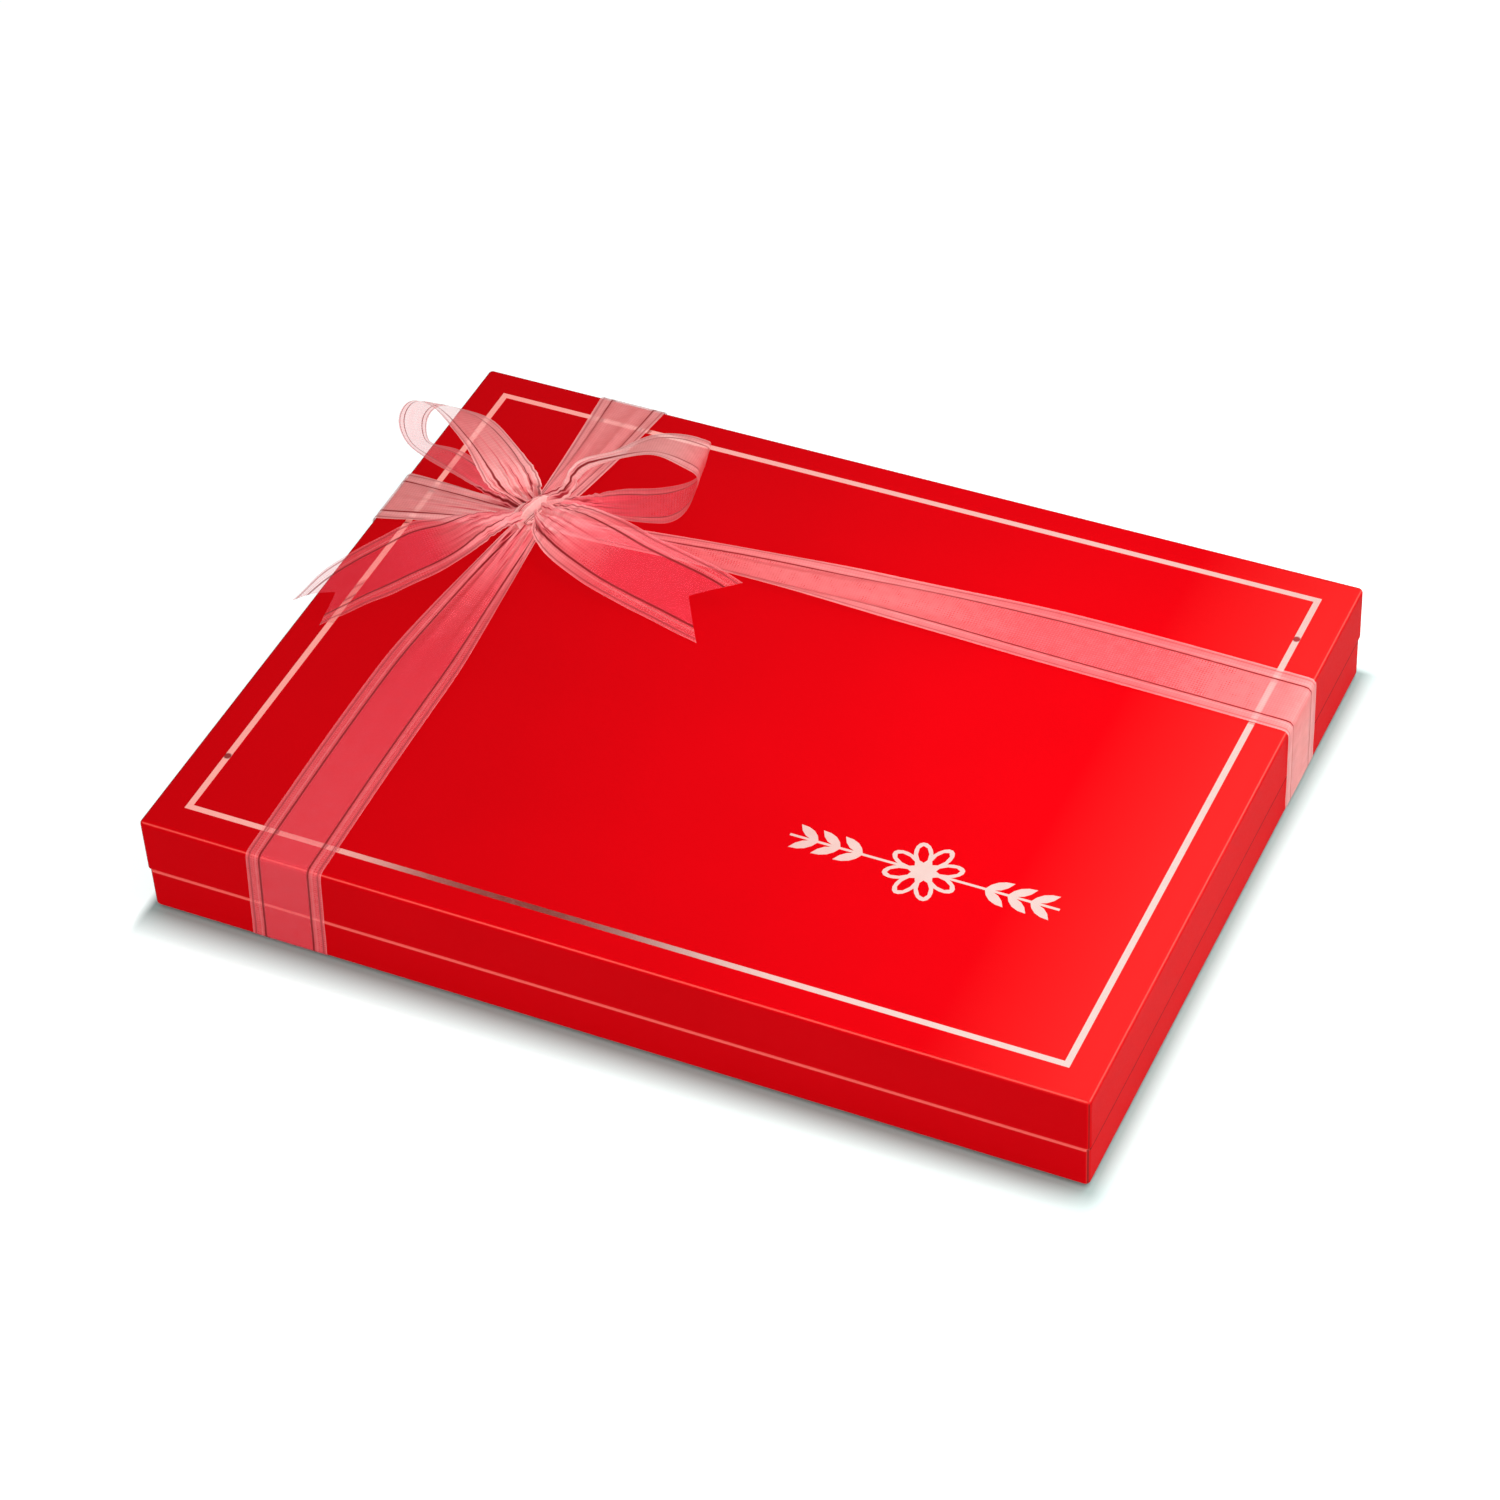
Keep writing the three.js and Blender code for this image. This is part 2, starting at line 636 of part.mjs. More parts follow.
/** The ribbon: the cross under the box, a band over each edge, and the bow on the lid. */
function makeRibbon() {
  const group = new THREE.Group();
  group.position.set(KNOT_FROM_LEFT - LID_LENGTH / 2, LID_WIDTH / 2 - KNOT_FROM_BACK, 0);
  addPiece(group, 'ribbon_underside', underside(), MATERIALS.organza);
  for (const [name, plan] of Object.entries(BANDS)) {
    const mesh = addPiece(group, name, band(plan), MATERIALS.organza);
    mesh.rotation.z = degrees(plan.heading);
  }
  const ball = new THREE.SphereGeometry(0.5, KNOT_STEPS, KNOT_STEPS / 2);
  const knot = geometryOf(solid(ball.scale(KNOT_WIDTH, KNOT_WIDTH, KNOT_HEIGHT)));
  addPiece(group, 'knot', knot, MATERIALS.organza).position.z = knotMiddle;
  for (const [name, plan] of Object.entries(LOOPS)) {
    const mesh = addPiece(group, name, loop(plan), MATERIALS.organza);
    mesh.position.z = knotMiddle;
    mesh.rotation.set(degrees(plan.lean), degrees(-plan.climb), degrees(plan.heading), 'ZYX');
  }
  for (const [name, plan] of Object.entries(TAILS)) {
    const mesh = addPiece(group, name, tail(plan), MATERIALS.organza);
    mesh.rotation.z = degrees(plan.heading);
  }
  return group;
}

const chocolateBox = new THREE.Group();
chocolateBox.add(makeBase(), makeFilling(), makeLid(), makeRibbon());

export default chocolateBox;
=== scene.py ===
"""Looks of a ribbon-tied gift box of chocolates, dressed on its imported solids.

The scene is in metres with +Z up and the front towards -Y, as the solids are. Sizes held by
the classes are in millimetres unless they say otherwise.
"""

import logging
import math
from collections.abc import Callable, Iterator
from contextlib import contextmanager
from dataclasses import dataclass
from enum import Enum
from functools import partial

import bpy
import numpy as np
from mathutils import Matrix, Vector


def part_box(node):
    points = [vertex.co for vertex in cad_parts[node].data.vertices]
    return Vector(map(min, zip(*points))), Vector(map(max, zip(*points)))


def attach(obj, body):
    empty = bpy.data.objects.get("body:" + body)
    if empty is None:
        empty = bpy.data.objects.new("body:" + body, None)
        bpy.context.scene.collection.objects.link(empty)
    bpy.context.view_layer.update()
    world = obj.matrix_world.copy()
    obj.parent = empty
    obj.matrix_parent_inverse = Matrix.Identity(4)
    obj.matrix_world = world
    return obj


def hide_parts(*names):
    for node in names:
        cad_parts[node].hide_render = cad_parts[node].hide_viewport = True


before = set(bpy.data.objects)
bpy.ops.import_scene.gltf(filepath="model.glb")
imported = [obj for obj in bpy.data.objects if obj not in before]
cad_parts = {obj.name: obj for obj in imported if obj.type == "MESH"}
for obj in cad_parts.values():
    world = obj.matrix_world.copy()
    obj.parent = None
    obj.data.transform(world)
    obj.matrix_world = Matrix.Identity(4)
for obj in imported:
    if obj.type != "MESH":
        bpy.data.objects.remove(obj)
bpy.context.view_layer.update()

MM = 0.001
LOG = logging.getLogger("gift_box")
Array = np.ndarray

LID_LENGTH = 300.0
LID_WIDTH = 230.0
LID_LOW = 15.6
LID_HIGH = 35.3
LID_OVERHANG = 0.4
BASE_LOW = 0.3
BASE_HIGH = 15.3
EDGE_RADIUS = 1.5
RIBBON_WIDTH = 25.0
RIBBON_RISE = 0.55
KNOT = np.array([-100.0, 47.5, 41.7])


def linear(colour: str) -> tuple[float, float, float, float]:
    """Turns an sRGB hex colour into linear red, green, blue and alpha.

    Args:
        colour: Six hex digits after a hash.

    Returns:
        The linear colour, fully opaque.
    """
    parts = [int(colour[i:i + 2], 16) / 255 for i in (1, 3, 5)]
    red, green, blue = (c / 12.92 if c <= 0.04045 else ((c + 0.055) / 1.055) ** 2.4 for c in parts)
    return red, green, blue, 1.0


def feed(node: bpy.types.Node, inputs: dict | tuple) -> None:
    """Sets or links a node's sockets.

    Args:
        node: The node.
        inputs: Values, or the outputs that feed them, by the socket's name or number or in order.
    """
    for socket, value in inputs.items() if isinstance(inputs, dict) else enumerate(inputs):
        if isinstance(value, bpy.types.NodeSocket):
            node.id_data.links.new(value, node.inputs[socket])
        else:
            node.inputs[socket].default_value = value


def add_node(
    tree: bpy.types.NodeTree, kind: str, inputs: dict | tuple = (), **settings: object,
) -> bpy.types.bpy_prop_collection:
    """Adds a shader node with its settings, values and links.

    Args:
        tree: The node tree.
        kind: The node's type, without the leading ShaderNode.
        inputs: Values, or the outputs that feed them, by the socket's name or number or in order.
        **settings: The node's own properties.

    Returns:
        The new node's outputs.
    """
    node = tree.nodes.new(f"ShaderNode{kind}")
    for key, value in settings.items():
        setattr(node, key, value)
    feed(node, inputs)
    return node.outputs


def start_material(name: str) -> tuple[bpy.types.Material, Callable, bpy.types.Node]:
    """Adds a material that holds one Principled shader.

    Args:
        name: The material's name.

    Returns:
        The material, the function that adds nodes to it and the shader.
    """
    material = bpy.data.materials.new(name)
    material.use_nodes = True
    tree = material.node_tree
    return material, partial(add_node, tree), tree.nodes["Principled BSDF"]


@dataclass(frozen=True)
class SatinPaper:
    """Art paper printed solid red under a satin film, folded over board.

    The film gives a soft broad sheen and the paper under it a faint mottle. Where the paper is
    folded over an edge, a dark line of painted shade is laid along the fold. Along the front, away
    from the corners, the line is a pale painted highlight instead. The upper right-hand edge takes
    the same painted highlight at a given strength, and the margin beside it, which lies between two
    shares of the half length, is painted a little paler as a painted sheen.
    """

    name: str
    half_length: float
    half_width: float
    low: float
    high: float
    colour: str = "#CE000A"
    shade: str = "#C40008"
    # pale colour of the painted highlight on the edges and of the painted sheen in the right margin
    fold: str = "#FF5A52"
    # dark colour of the painted shade in the other folds
    crease_shade: str = "#300207"
    fold_share: float = 0.75
    fold_mm: float = 0.8
    line_mm: float = 0.44
    highlight_mm: tuple[float, float] = (1.2, 0.5)
    # strength of the painted highlight at the upper right-hand edge
    right_highlight: float = 0.0
    margin: tuple[float, float] = (0.66, 0.96)
    # strength of the painted sheen on the top's right margin
    margin_sheen: float = 0.13
    mottle_mm: float = 40.0
    fibre_mm: float = 0.9  # paper fibre is finer; drawn this coarse so that it shows

    def make(self) -> bpy.types.Material:
        """Builds the material.

        Returns:
            The material.
        """
        material, add, shader = start_material(self.name)
        place = add("TexCoord")["Object"]
        axes = add("SeparateXYZ", (place,))
        middle, half_height = (self.low + self.high) / 2, (self.high - self.low) / 2
        depths = []
        for axis, centre, half in (
            ("X", 0.0, self.half_length), ("Y", 0.0, self.half_width), ("Z", middle, half_height),
        ):
            off = add("Math", (axes[axis], centre * MM), operation="SUBTRACT")[0]
            size = add("Math", (off,), operation="ABSOLUTE")[0]
            depths.append(add("Math", (half * MM, size), operation="SUBTRACT")[0])
        near = add("Math", (depths[0], depths[1]), operation="MINIMUM")[0]
        far = add("Math", (depths[0], depths[1]), operation="MAXIMUM")[0]
        rest = add("Math", (far, depths[2]), operation="MINIMUM")[0]
        second = add("Math", (near, rest), operation="MAXIMUM")[0]
        edge = add(
            "MapRange",
            {"Value": second, "From Min": self.fold_mm * MM, "From Max": self.line_mm * MM,
             "To Max": self.fold_share},
            interpolation_type="SMOOTHSTEP",
        )[0]
        # Where the edge line is painted highlight rather than painted shade: along the front, away from the
        # corners, and at the upper right-hand edge.
        outermost = []
        for axis, end, inwards, most in (
            ("Y", -self.half_width, 1, 1.0), ("X", self.half_length, -1, 1.0),
            ("Z", self.high, -1, self.right_highlight),
        ):
            inner, outer = ((end + inwards * depth) * MM for depth in self.highlight_mm)
            limits = {"From Min": inner, "From Max": outer, "To Max": most}
            outermost.append(add("MapRange", {"Value": axes[axis], **limits})[0])
        front_highlight, at_right, at_top = outermost
        limits = {"From Min": self.highlight_mm[1] * MM, "From Max": self.fold_mm * MM}
        not_corner = add("MapRange", {"Value": far, **limits})[0]
        front = add("Math", (front_highlight, not_corner), operation="MULTIPLY")[0]
        right = add("Math", (at_right, at_top), operation="MULTIPLY")[0]
        highlight_edge = add("Math", (front, right), operation="MAXIMUM")[0]
        # The top's right margin is painted paler: a painted sheen.
        inner, outer = (share * self.half_length * MM for share in self.margin)
        limits = {"From Min": inner, "From Max": outer, "To Max": self.margin_sheen}
        margin = add("MapRange", {"Value": axes["X"], **limits})[0]
        thin = add("Math", (margin, at_top), operation="MULTIPLY")[0]
        mottle = add("TexNoise", {"Vector": place, "Scale": 1000 / self.mottle_mm, "Detail": 4.0})["Fac"]
        # The edge line is painted: a pale highlight where lit, dark shade in the other folds.
        fold = linear(self.fold)
        line = add("Mix", {0: highlight_edge, 6: linear(self.crease_shade), 7: fold}, data_type="RGBA")[2]
        colour = linear(self.colour)
        for share, tone in ((mottle, linear(self.shade)), (thin, fold), (edge, line)):
            colour = add("Mix", {0: share, 6: colour, 7: tone}, data_type="RGBA")[2]
        fibre = add("TexNoise", {"Vector": place, "Scale": 1000 / self.fibre_mm, "Detail": 3.0})["Fac"]
        rough = add("MapRange", {"Value": fibre, "To Min": 0.36, "To Max": 0.5})[0]
        bump = add("Bump", {"Height": fibre, "Strength": 0.05, "Distance": 0.1 * MM})[0]
        feed(shader, {"Base Color": colour, "Roughness": rough, "Normal": bump, "Specular IOR Level": 0.015})
        return material


@dataclass(frozen=True)
class FibreBoard:
    """Paper or board seen bare: matte, a little uneven, with stray fibres.

    Greyboard shows dark and pale flecks of recycled fibre, lining paper almost none.
    """

    name: str
    colour: str
    fleck: str
    fleck_share: float
    fleck_mm: float = 1.2
    roughness: float = 0.85

    def make(self) -> bpy.types.Material:
        """Builds the material.

        Returns:
            The material.
        """
        material, add, shader = start_material(self.name)
        place = add("TexCoord")["Object"]
        stretched = add("Mapping", {"Vector": place, "Scale": (1.0, 0.35, 1.0)})[0]
        grain = add("TexNoise", {"Vector": stretched, "Scale": 1000 / self.fleck_mm, "Detail": 5.0})["Fac"]
        flecks = add(
            "MapRange", {"Value": grain, "From Min": 0.45, "From Max": 0.7, "To Max": self.fleck_share},
        )[0]
        tones = {0: flecks, 6: linear(self.colour), 7: linear(self.fleck)}
        colour = add("Mix", tones, data_type="RGBA")[2]
        bump = add("Bump", {"Height": grain, "Strength": 0.25, "Distance": 0.15 * MM})[0]
        feed(shader, {
            "Base Color": colour, "Normal": bump, "Roughness": self.roughness, "Specular IOR Level": 0.25,
        })
        return material


@dataclass(frozen=True)
class MetalSkin:
    """A thin metal film on paper or card: hot-stamped foil, or metallised gold card.

    It mirrors its surroundings softly, with a fine grain from the paper under it. Nicks are the
    places where the film didn't take and the paper shows.
    """

    name: str
    colour: str
    deep: str
    roughness: float
    grain_mm: float
    nicks: tuple[tuple[float, float, float], ...] = ()
    paper: str = "#8E1A1C"

    def make(self) -> bpy.types.Material:
        """Builds the material.

        Returns:
            The material.
        """
        material, add, shader = start_material(self.name)
        place = add("TexCoord")["Object"]
        grain = add("TexNoise", {"Vector": place, "Scale": 1000 / self.grain_mm, "Detail": 4.0})["Fac"]
        tones = {0: grain, 6: linear(self.colour), 7: linear(self.deep)}
        colour = add("Mix", tones, data_type="RGBA")[2]
        metal = 1.0
        for nick in self.nicks:
            spot = tuple(c * MM for c in nick)
            reach = add("VectorMath", (place, spot), operation="DISTANCE")["Value"]
            gap = add("MapRange", {"Value": reach, "From Min": 1.5 * MM, "From Max": 1.0 * MM})[0]
            colour = add("Mix", {0: gap, 6: colour, 7: linear(self.paper)}, data_type="RGBA")[2]
            kept = add("Math", (1.0, gap), operation="SUBTRACT")[0]
            metal = add("Math", (metal, kept), operation="MULTIPLY")[0]
        bump = add("Bump", {"Height": grain, "Strength": 0.04, "Distance": 0.05 * MM})[0]
        limits = {"To Min": 0.8 * self.roughness, "To Max": 1.2 * self.roughness}
        rough = add("MapRange", {"Value": grain, **limits})[0]
        feed(shader, {"Base Color": colour, "Roughness": rough, "Normal": bump, "Metallic": metal})
        return material


@dataclass(frozen=True)
class Organza:
    """Sheer woven nylon ribbon, pale pink, with a dark thread line inside each selvedge.

    Fine threads with open gaps let what lies under show through, and scatter light on so that the
    ribbon throws only a faint shadow. Where it is drawn together the threads lie closer, so that it
    turns denser, and shade is painted darker into its creases along its length. Where it stands in
    the light a paler pink is painted on as a highlight, streaked by the folds where it is gathered.
    The map's first axis runs across the ribbon and its second along it, both in ribbon widths; the
    attribute "gather" says how far it is drawn together, and "to_light" how much painted highlight
    it takes.
    """

    name: str
    colour: str = "#FF4C63"
    # pale pink of the painted highlight where the ribbon stands in the light
    drawn: str = "#FFCCC8"
    # dark red of the painted shade in the creases
    crease_shade: str = "#A01426"
    selvedge: str = "#FF6C78"
    line: str = "#7A0814"
    pale: str = "#FFC0C0"
    cover: float = 0.35
    drawn_cover: float = 0.36
    lit_cover: float = 0.12
    line_in_mm: float = 4.4
    crease_mm: float = 1.4
    thread_mm: float = 0.9  # real threads lie 0.25 mm apart; drawn this coarse so that they show

    def stripe(
        self, add: Callable, inset: bpy.types.NodeSocket, centre: float, width: float, weight: float,
    ) -> bpy.types.NodeSocket:
        """Adds the mask of a line that runs along both edges.

        Args:
            add: Adds a node to the material.
            inset: Distance in from the nearer edge, in ribbon widths.
            centre: The line's distance in from the edge, in millimetres.
            width: Half its width, in millimetres.
            weight: Its strength.

        Returns:
            The mask.
        """
        away = add("Math", (inset, centre / RIBBON_WIDTH), operation="SUBTRACT")[0]
        gap = add("Math", (away,), operation="ABSOLUTE")[0]
        outer = width / RIBBON_WIDTH
        return add(
            "MapRange", {"Value": gap, "From Min": outer, "From Max": 0.3 * outer, "To Max": weight},
            interpolation_type="SMOOTHSTEP",
        )[0]

    def make(self) -> bpy.types.Material:
        """Builds the material.

        Returns:
            The material.
        """
        material, add, shader = start_material(self.name)
        place = add("UVMap", uv_map="UVMap")[0]
        axes = add("SeparateXYZ", (place,))
        off = add("Math", (axes["X"], 0.5), operation="SUBTRACT")[0]
        side = add("Math", (off,), operation="ABSOLUTE")[0]
        inset = add("Math", (0.5, side), operation="SUBTRACT")[0]
        stripes = []
        for inner, outer in (
            ((self.line_in_mm, 0.6, 1.0), (1.1, 0.5, 0.75)), ((3.2, 0.5, 0.2), (0.0, 0.5, 0.25)),
        ):
            both = (self.stripe(add, inset, *inner), self.stripe(add, inset, *outer))
            stripes.append(add("Math", both, operation="MAXIMUM")[0])
        lines, pale = stripes
        limits = {"From Min": 4.6 / RIBBON_WIDTH, "From Max": 4.0 / RIBBON_WIDTH}
        edge = add("MapRange", {"Value": inset, **limits})[0]
        weave = 0.0
        for axis in ("X", "Y"):
            threads = (axes[axis], 2 * math.pi * RIBBON_WIDTH / self.thread_mm)
            turn = add("Math", threads, operation="MULTIPLY")[0]
            wave = add("Math", (turn,), operation="SINE")[0]
            weave = add("Math", (weave, wave), operation="ADD")[0]
        cloud = add("TexNoise", {"Vector": place, "Scale": 6.0, "Detail": 3.0})["Fac"]
        gather = add("Attribute", attribute_name="gather")["Fac"]
        to_light = add("Attribute", attribute_name="to_light")["Fac"]
        fine = RIBBON_WIDTH / self.crease_mm
        drawn_out = add("Mapping", {"Vector": place, "Scale": (fine, 0.06 * fine, 1.0)})[0]
        folds = add("TexNoise", {"Vector": drawn_out, "Scale": 1.0, "Detail": 2.0})["Fac"]
        ridge = add(
            "MapRange", {"Value": folds, "From Min": 0.36, "From Max": 0.62, "To Min": 0.1, "To Max": 1.1},
        )[0]
        streak = add("Mix", {0: gather, 2: 1.0, 3: ridge})[0]
        # Painted highlight: paler where the strip stands in the light, streaked by the folds where gathered.
        drawn = add("Math", (to_light, streak), operation="MULTIPLY", use_clamp=True)[0]
        # Painted shade in the valleys of the folds, where the ribbon is pressed together.
        valley = add("MapRange", {"Value": folds, "From Min": 0.43, "From Max": 0.36})[0]
        pressed = add("MapRange", {"Value": gather, "From Min": 0.1, "From Max": 0.6})[0]
        shaded_crease = add("Math", (valley, pressed), operation="MULTIPLY")[0]
        colour = linear(self.colour)
        for share, tone in (
            (edge, self.selvedge), (pale, self.pale), (drawn, self.drawn), (shaded_crease, self.crease_shade),
            (lines, self.line),
        ):
            colour = add("Mix", {0: share, 6: colour, 7: linear(tone)}, data_type="RGBA")[2]
        limits = {"From Min": 0.3, "From Max": 0.7, "To Min": self.cover - 0.03, "To Max": self.cover + 0.03}
        cover = add("MapRange", {"Value": cloud, **limits})[0]
        # Denser under the painted highlight, and where gathered, woven, at the edges, in the creases and on
        # the lines.
        for share, weight in (
            (to_light, self.lit_cover), (gather, self.drawn_cover), (weave, 0.02), (edge, 0.05), (pale, 0.2),
            (shaded_crease, 0.36), (lines, 0.5),
        ):
            added = (share, weight, cover)
            cover = add("Math", added, operation="MULTIPLY_ADD", use_clamp=True)[0]
        light = add("LightPath")
        scattered = (light["Is Shadow Ray"], light["Is Diffuse Ray"])
        through = add("Math", scattered, operation="MAXIMUM")[0]
        passes = add("MapRange", {"Value": through, "To Min": 1.0, "To Max": 0.2})[0]
        alpha = add("Math", (cover, passes), operation="MULTIPLY")[0]
        rise = add("Math", (folds, gather), operation="MULTIPLY")[0]
        height = add("Math", (weave, 0.02, rise), operation="MULTIPLY_ADD")[0]
        bump = add("Bump", {"Height": height, "Strength": 0.6, "Distance": 0.8 * MM})[0]
        feed(shader, {
            "Base Color": colour, "Alpha": alpha, "Normal": bump, "Roughness": 0.4,
            "Specular IOR Level": 0.8, "Specular Tint": linear("#FFA8A0"),
            "Sheen Weight": 0.2, "Sheen Roughness": 0.4, "Sheen Tint": linear("#FF9A94"),
        })
        return material


class Chocolate(Enum):
    """The three chocolates, each with its colour and the tone of its bloom."""

    MILK = ("milk_chocolate", "#5C2E17", "#7A4526")
    DARK = ("dark_chocolate", "#2B120A", "#45241A")
    WHITE = ("white_chocolate", "#EBDDB9", "#F6ECD2")

    def make(self) -> bpy.types.Material:
        """Builds the tempered chocolate: a satin skin with a faint cloudy bloom.

        Returns:
            The material.
        """
        name, base, bloom = self.value
        cloud_mm, pore_mm = 9.0, 1.3
        material, add, shader = start_material(name)
        place = add("TexCoord")["Object"]
        cloud = add("TexNoise", {"Vector": place, "Scale": 1000 / cloud_mm, "Detail": 6.0})["Fac"]
        share = add("MapRange", {"Value": cloud, "From Min": 0.35, "From Max": 0.8, "To Max": 0.7})[0]
        colour = add("Mix", {0: share, 6: linear(base), 7: linear(bloom)}, data_type="RGBA")[2]
        rough = add("MapRange", {"Value": cloud, "To Min": 0.24, "To Max": 0.46})[0]
        pores = add("TexNoise", {"Vector": place, "Scale": 1000 / pore_mm, "Detail": 3.0})["Fac"]
        bump = add("Bump", {"Height": pores, "Strength": 0.12, "Distance": 0.12 * MM})[0]
        feed(shader, {"Base Color": colour, "Roughness": rough, "Normal": bump, "IOR": 1.46})
        return material


def dress(node: str, material: bpy.types.Material) -> None:
    """Gives a solid of the frame its finish.

    Args:
        node: The solid's name.
        material: Its finish.
    """
    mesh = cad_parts[node].data
    mesh.materials.clear()
    mesh.materials.append(material)
    LOG.info("dressed %s in %s", node, material.name)


def settle(piece: bpy.types.Object, body: str, nodes: list[str]) -> None:
    """Puts a finished piece on its body, in place of its solids.

    Args:
        piece: The finished piece.
        body: The body that it moves with.
        nodes: The solids that it stands for.
    """
    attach(piece, body)
    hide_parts(*nodes)
    LOG.info("made %s on %s for %s", piece.name, body, ", ".join(nodes))


def new_grid(name: str, columns: int, rows: int) -> bpy.types.Object:
    """Adds a flat square grid, one unit wide, to be shaped.

    Args:
        name: The piece's name.
        columns: Cells across.
        rows: Cells along.

    Returns:
        The grid's object.
    """
    bpy.ops.mesh.primitive_grid_add(x_subdivisions=columns, y_subdivisions=rows, size=1.0)
    piece = bpy.context.active_object
    piece.name = name
    piece.data.name = name
    return piece


def join(pieces: list[bpy.types.Object]) -> bpy.types.Object:
    """Joins pieces into the first of them.

    Args:
        pieces: The pieces.

    Returns:
        The joined piece.
    """
    bpy.ops.object.select_all(action="DESELECT")
    for piece in pieces:
        piece.select_set(True)
    bpy.context.view_layer.objects.active = pieces[0]
    bpy.ops.object.join()
    return pieces[0]


@contextmanager
def editing() -> Iterator[None]:
    """Opens the active mesh for editing, and closes it again."""
    bpy.ops.object.mode_set(mode="EDIT")
    yield
    bpy.ops.object.mode_set(mode="OBJECT")


def coordinates(mesh: bpy.types.Mesh) -> Array:
    """Reads a mesh's points.

    Args:
        mesh: The mesh.

    Returns:
        A row of x, y and z for each.
    """
    points = np.empty(len(mesh.vertices) * 3)
    mesh.vertices.foreach_get("co", points)
    return points.reshape(-1, 3)


def shape_sheet(piece: bpy.types.Object, place: Callable[[Array, Array], tuple[Array, ...]]) -> None:
    """Moves a grid's points onto a curved sheet and maps the cloth onto it.

    Args:
        piece: The grid.
        place: Gives points in millimetres, cloth coordinates, how far the cloth is drawn together
            and how pale it stands in the light, from the shares across and along.
    """
    mesh = piece.data
    flat = coordinates(mesh) + 0.5
    points, cloth, *tones = place(flat[:, 0], flat[:, 1])
    mesh.vertices.foreach_set("co", (points * MM).ravel())
    for name, tone in zip(("gather", "to_light"), tones):
        mesh.attributes.new(name, "FLOAT", "POINT").data.foreach_set("value", tone)
    corners = np.empty(len(mesh.loops), dtype=np.int32)
    mesh.loops.foreach_get("vertex_index", corners)
    mesh.uv_layers.active.data.foreach_set("uv", cloth[corners].ravel())
    mesh.update()
    bpy.ops.object.shade_smooth()


def turn_z(points: Array, degrees: float) -> Array:
    """Turns rows of points about the upright axis."""
    cosine, sine = math.cos(math.radians(degrees)), math.sin(math.radians(degrees))
    return points @ np.array([[cosine, sine, 0.0], [-sine, cosine, 0.0], [0.0, 0.0, 1.0]])


def smooth_through(rows: Array, spots: Array) -> Array:
    """Reads a natural cubic spline that passes through evenly numbered rows.

    Args:
        rows: The values to pass through, one row each.
        spots: Row numbers to read at, whole or between.

    Returns:
        A row for each spot.
    """
    count = len(rows)
    system, pull = np.eye(count), np.zeros_like(rows)
    for i in range(1, count - 1):
        system[i, i - 1:i + 2] = (1.0, 4.0, 1.0)
        pull[i] = 6 * (rows[i - 1] - 2 * rows[i] + rows[i + 1])
    bend = np.linalg.solve(system, pull)
    first = np.clip(spots.astype(int), 0, count - 2)
    far = (spots - first)[:, None]
    near = 1 - far
    curve = (near ** 3 - near) * bend[first] + (far ** 3 - far) * bend[first + 1]
    return near * rows[first] + far * rows[first + 1] + curve / 6


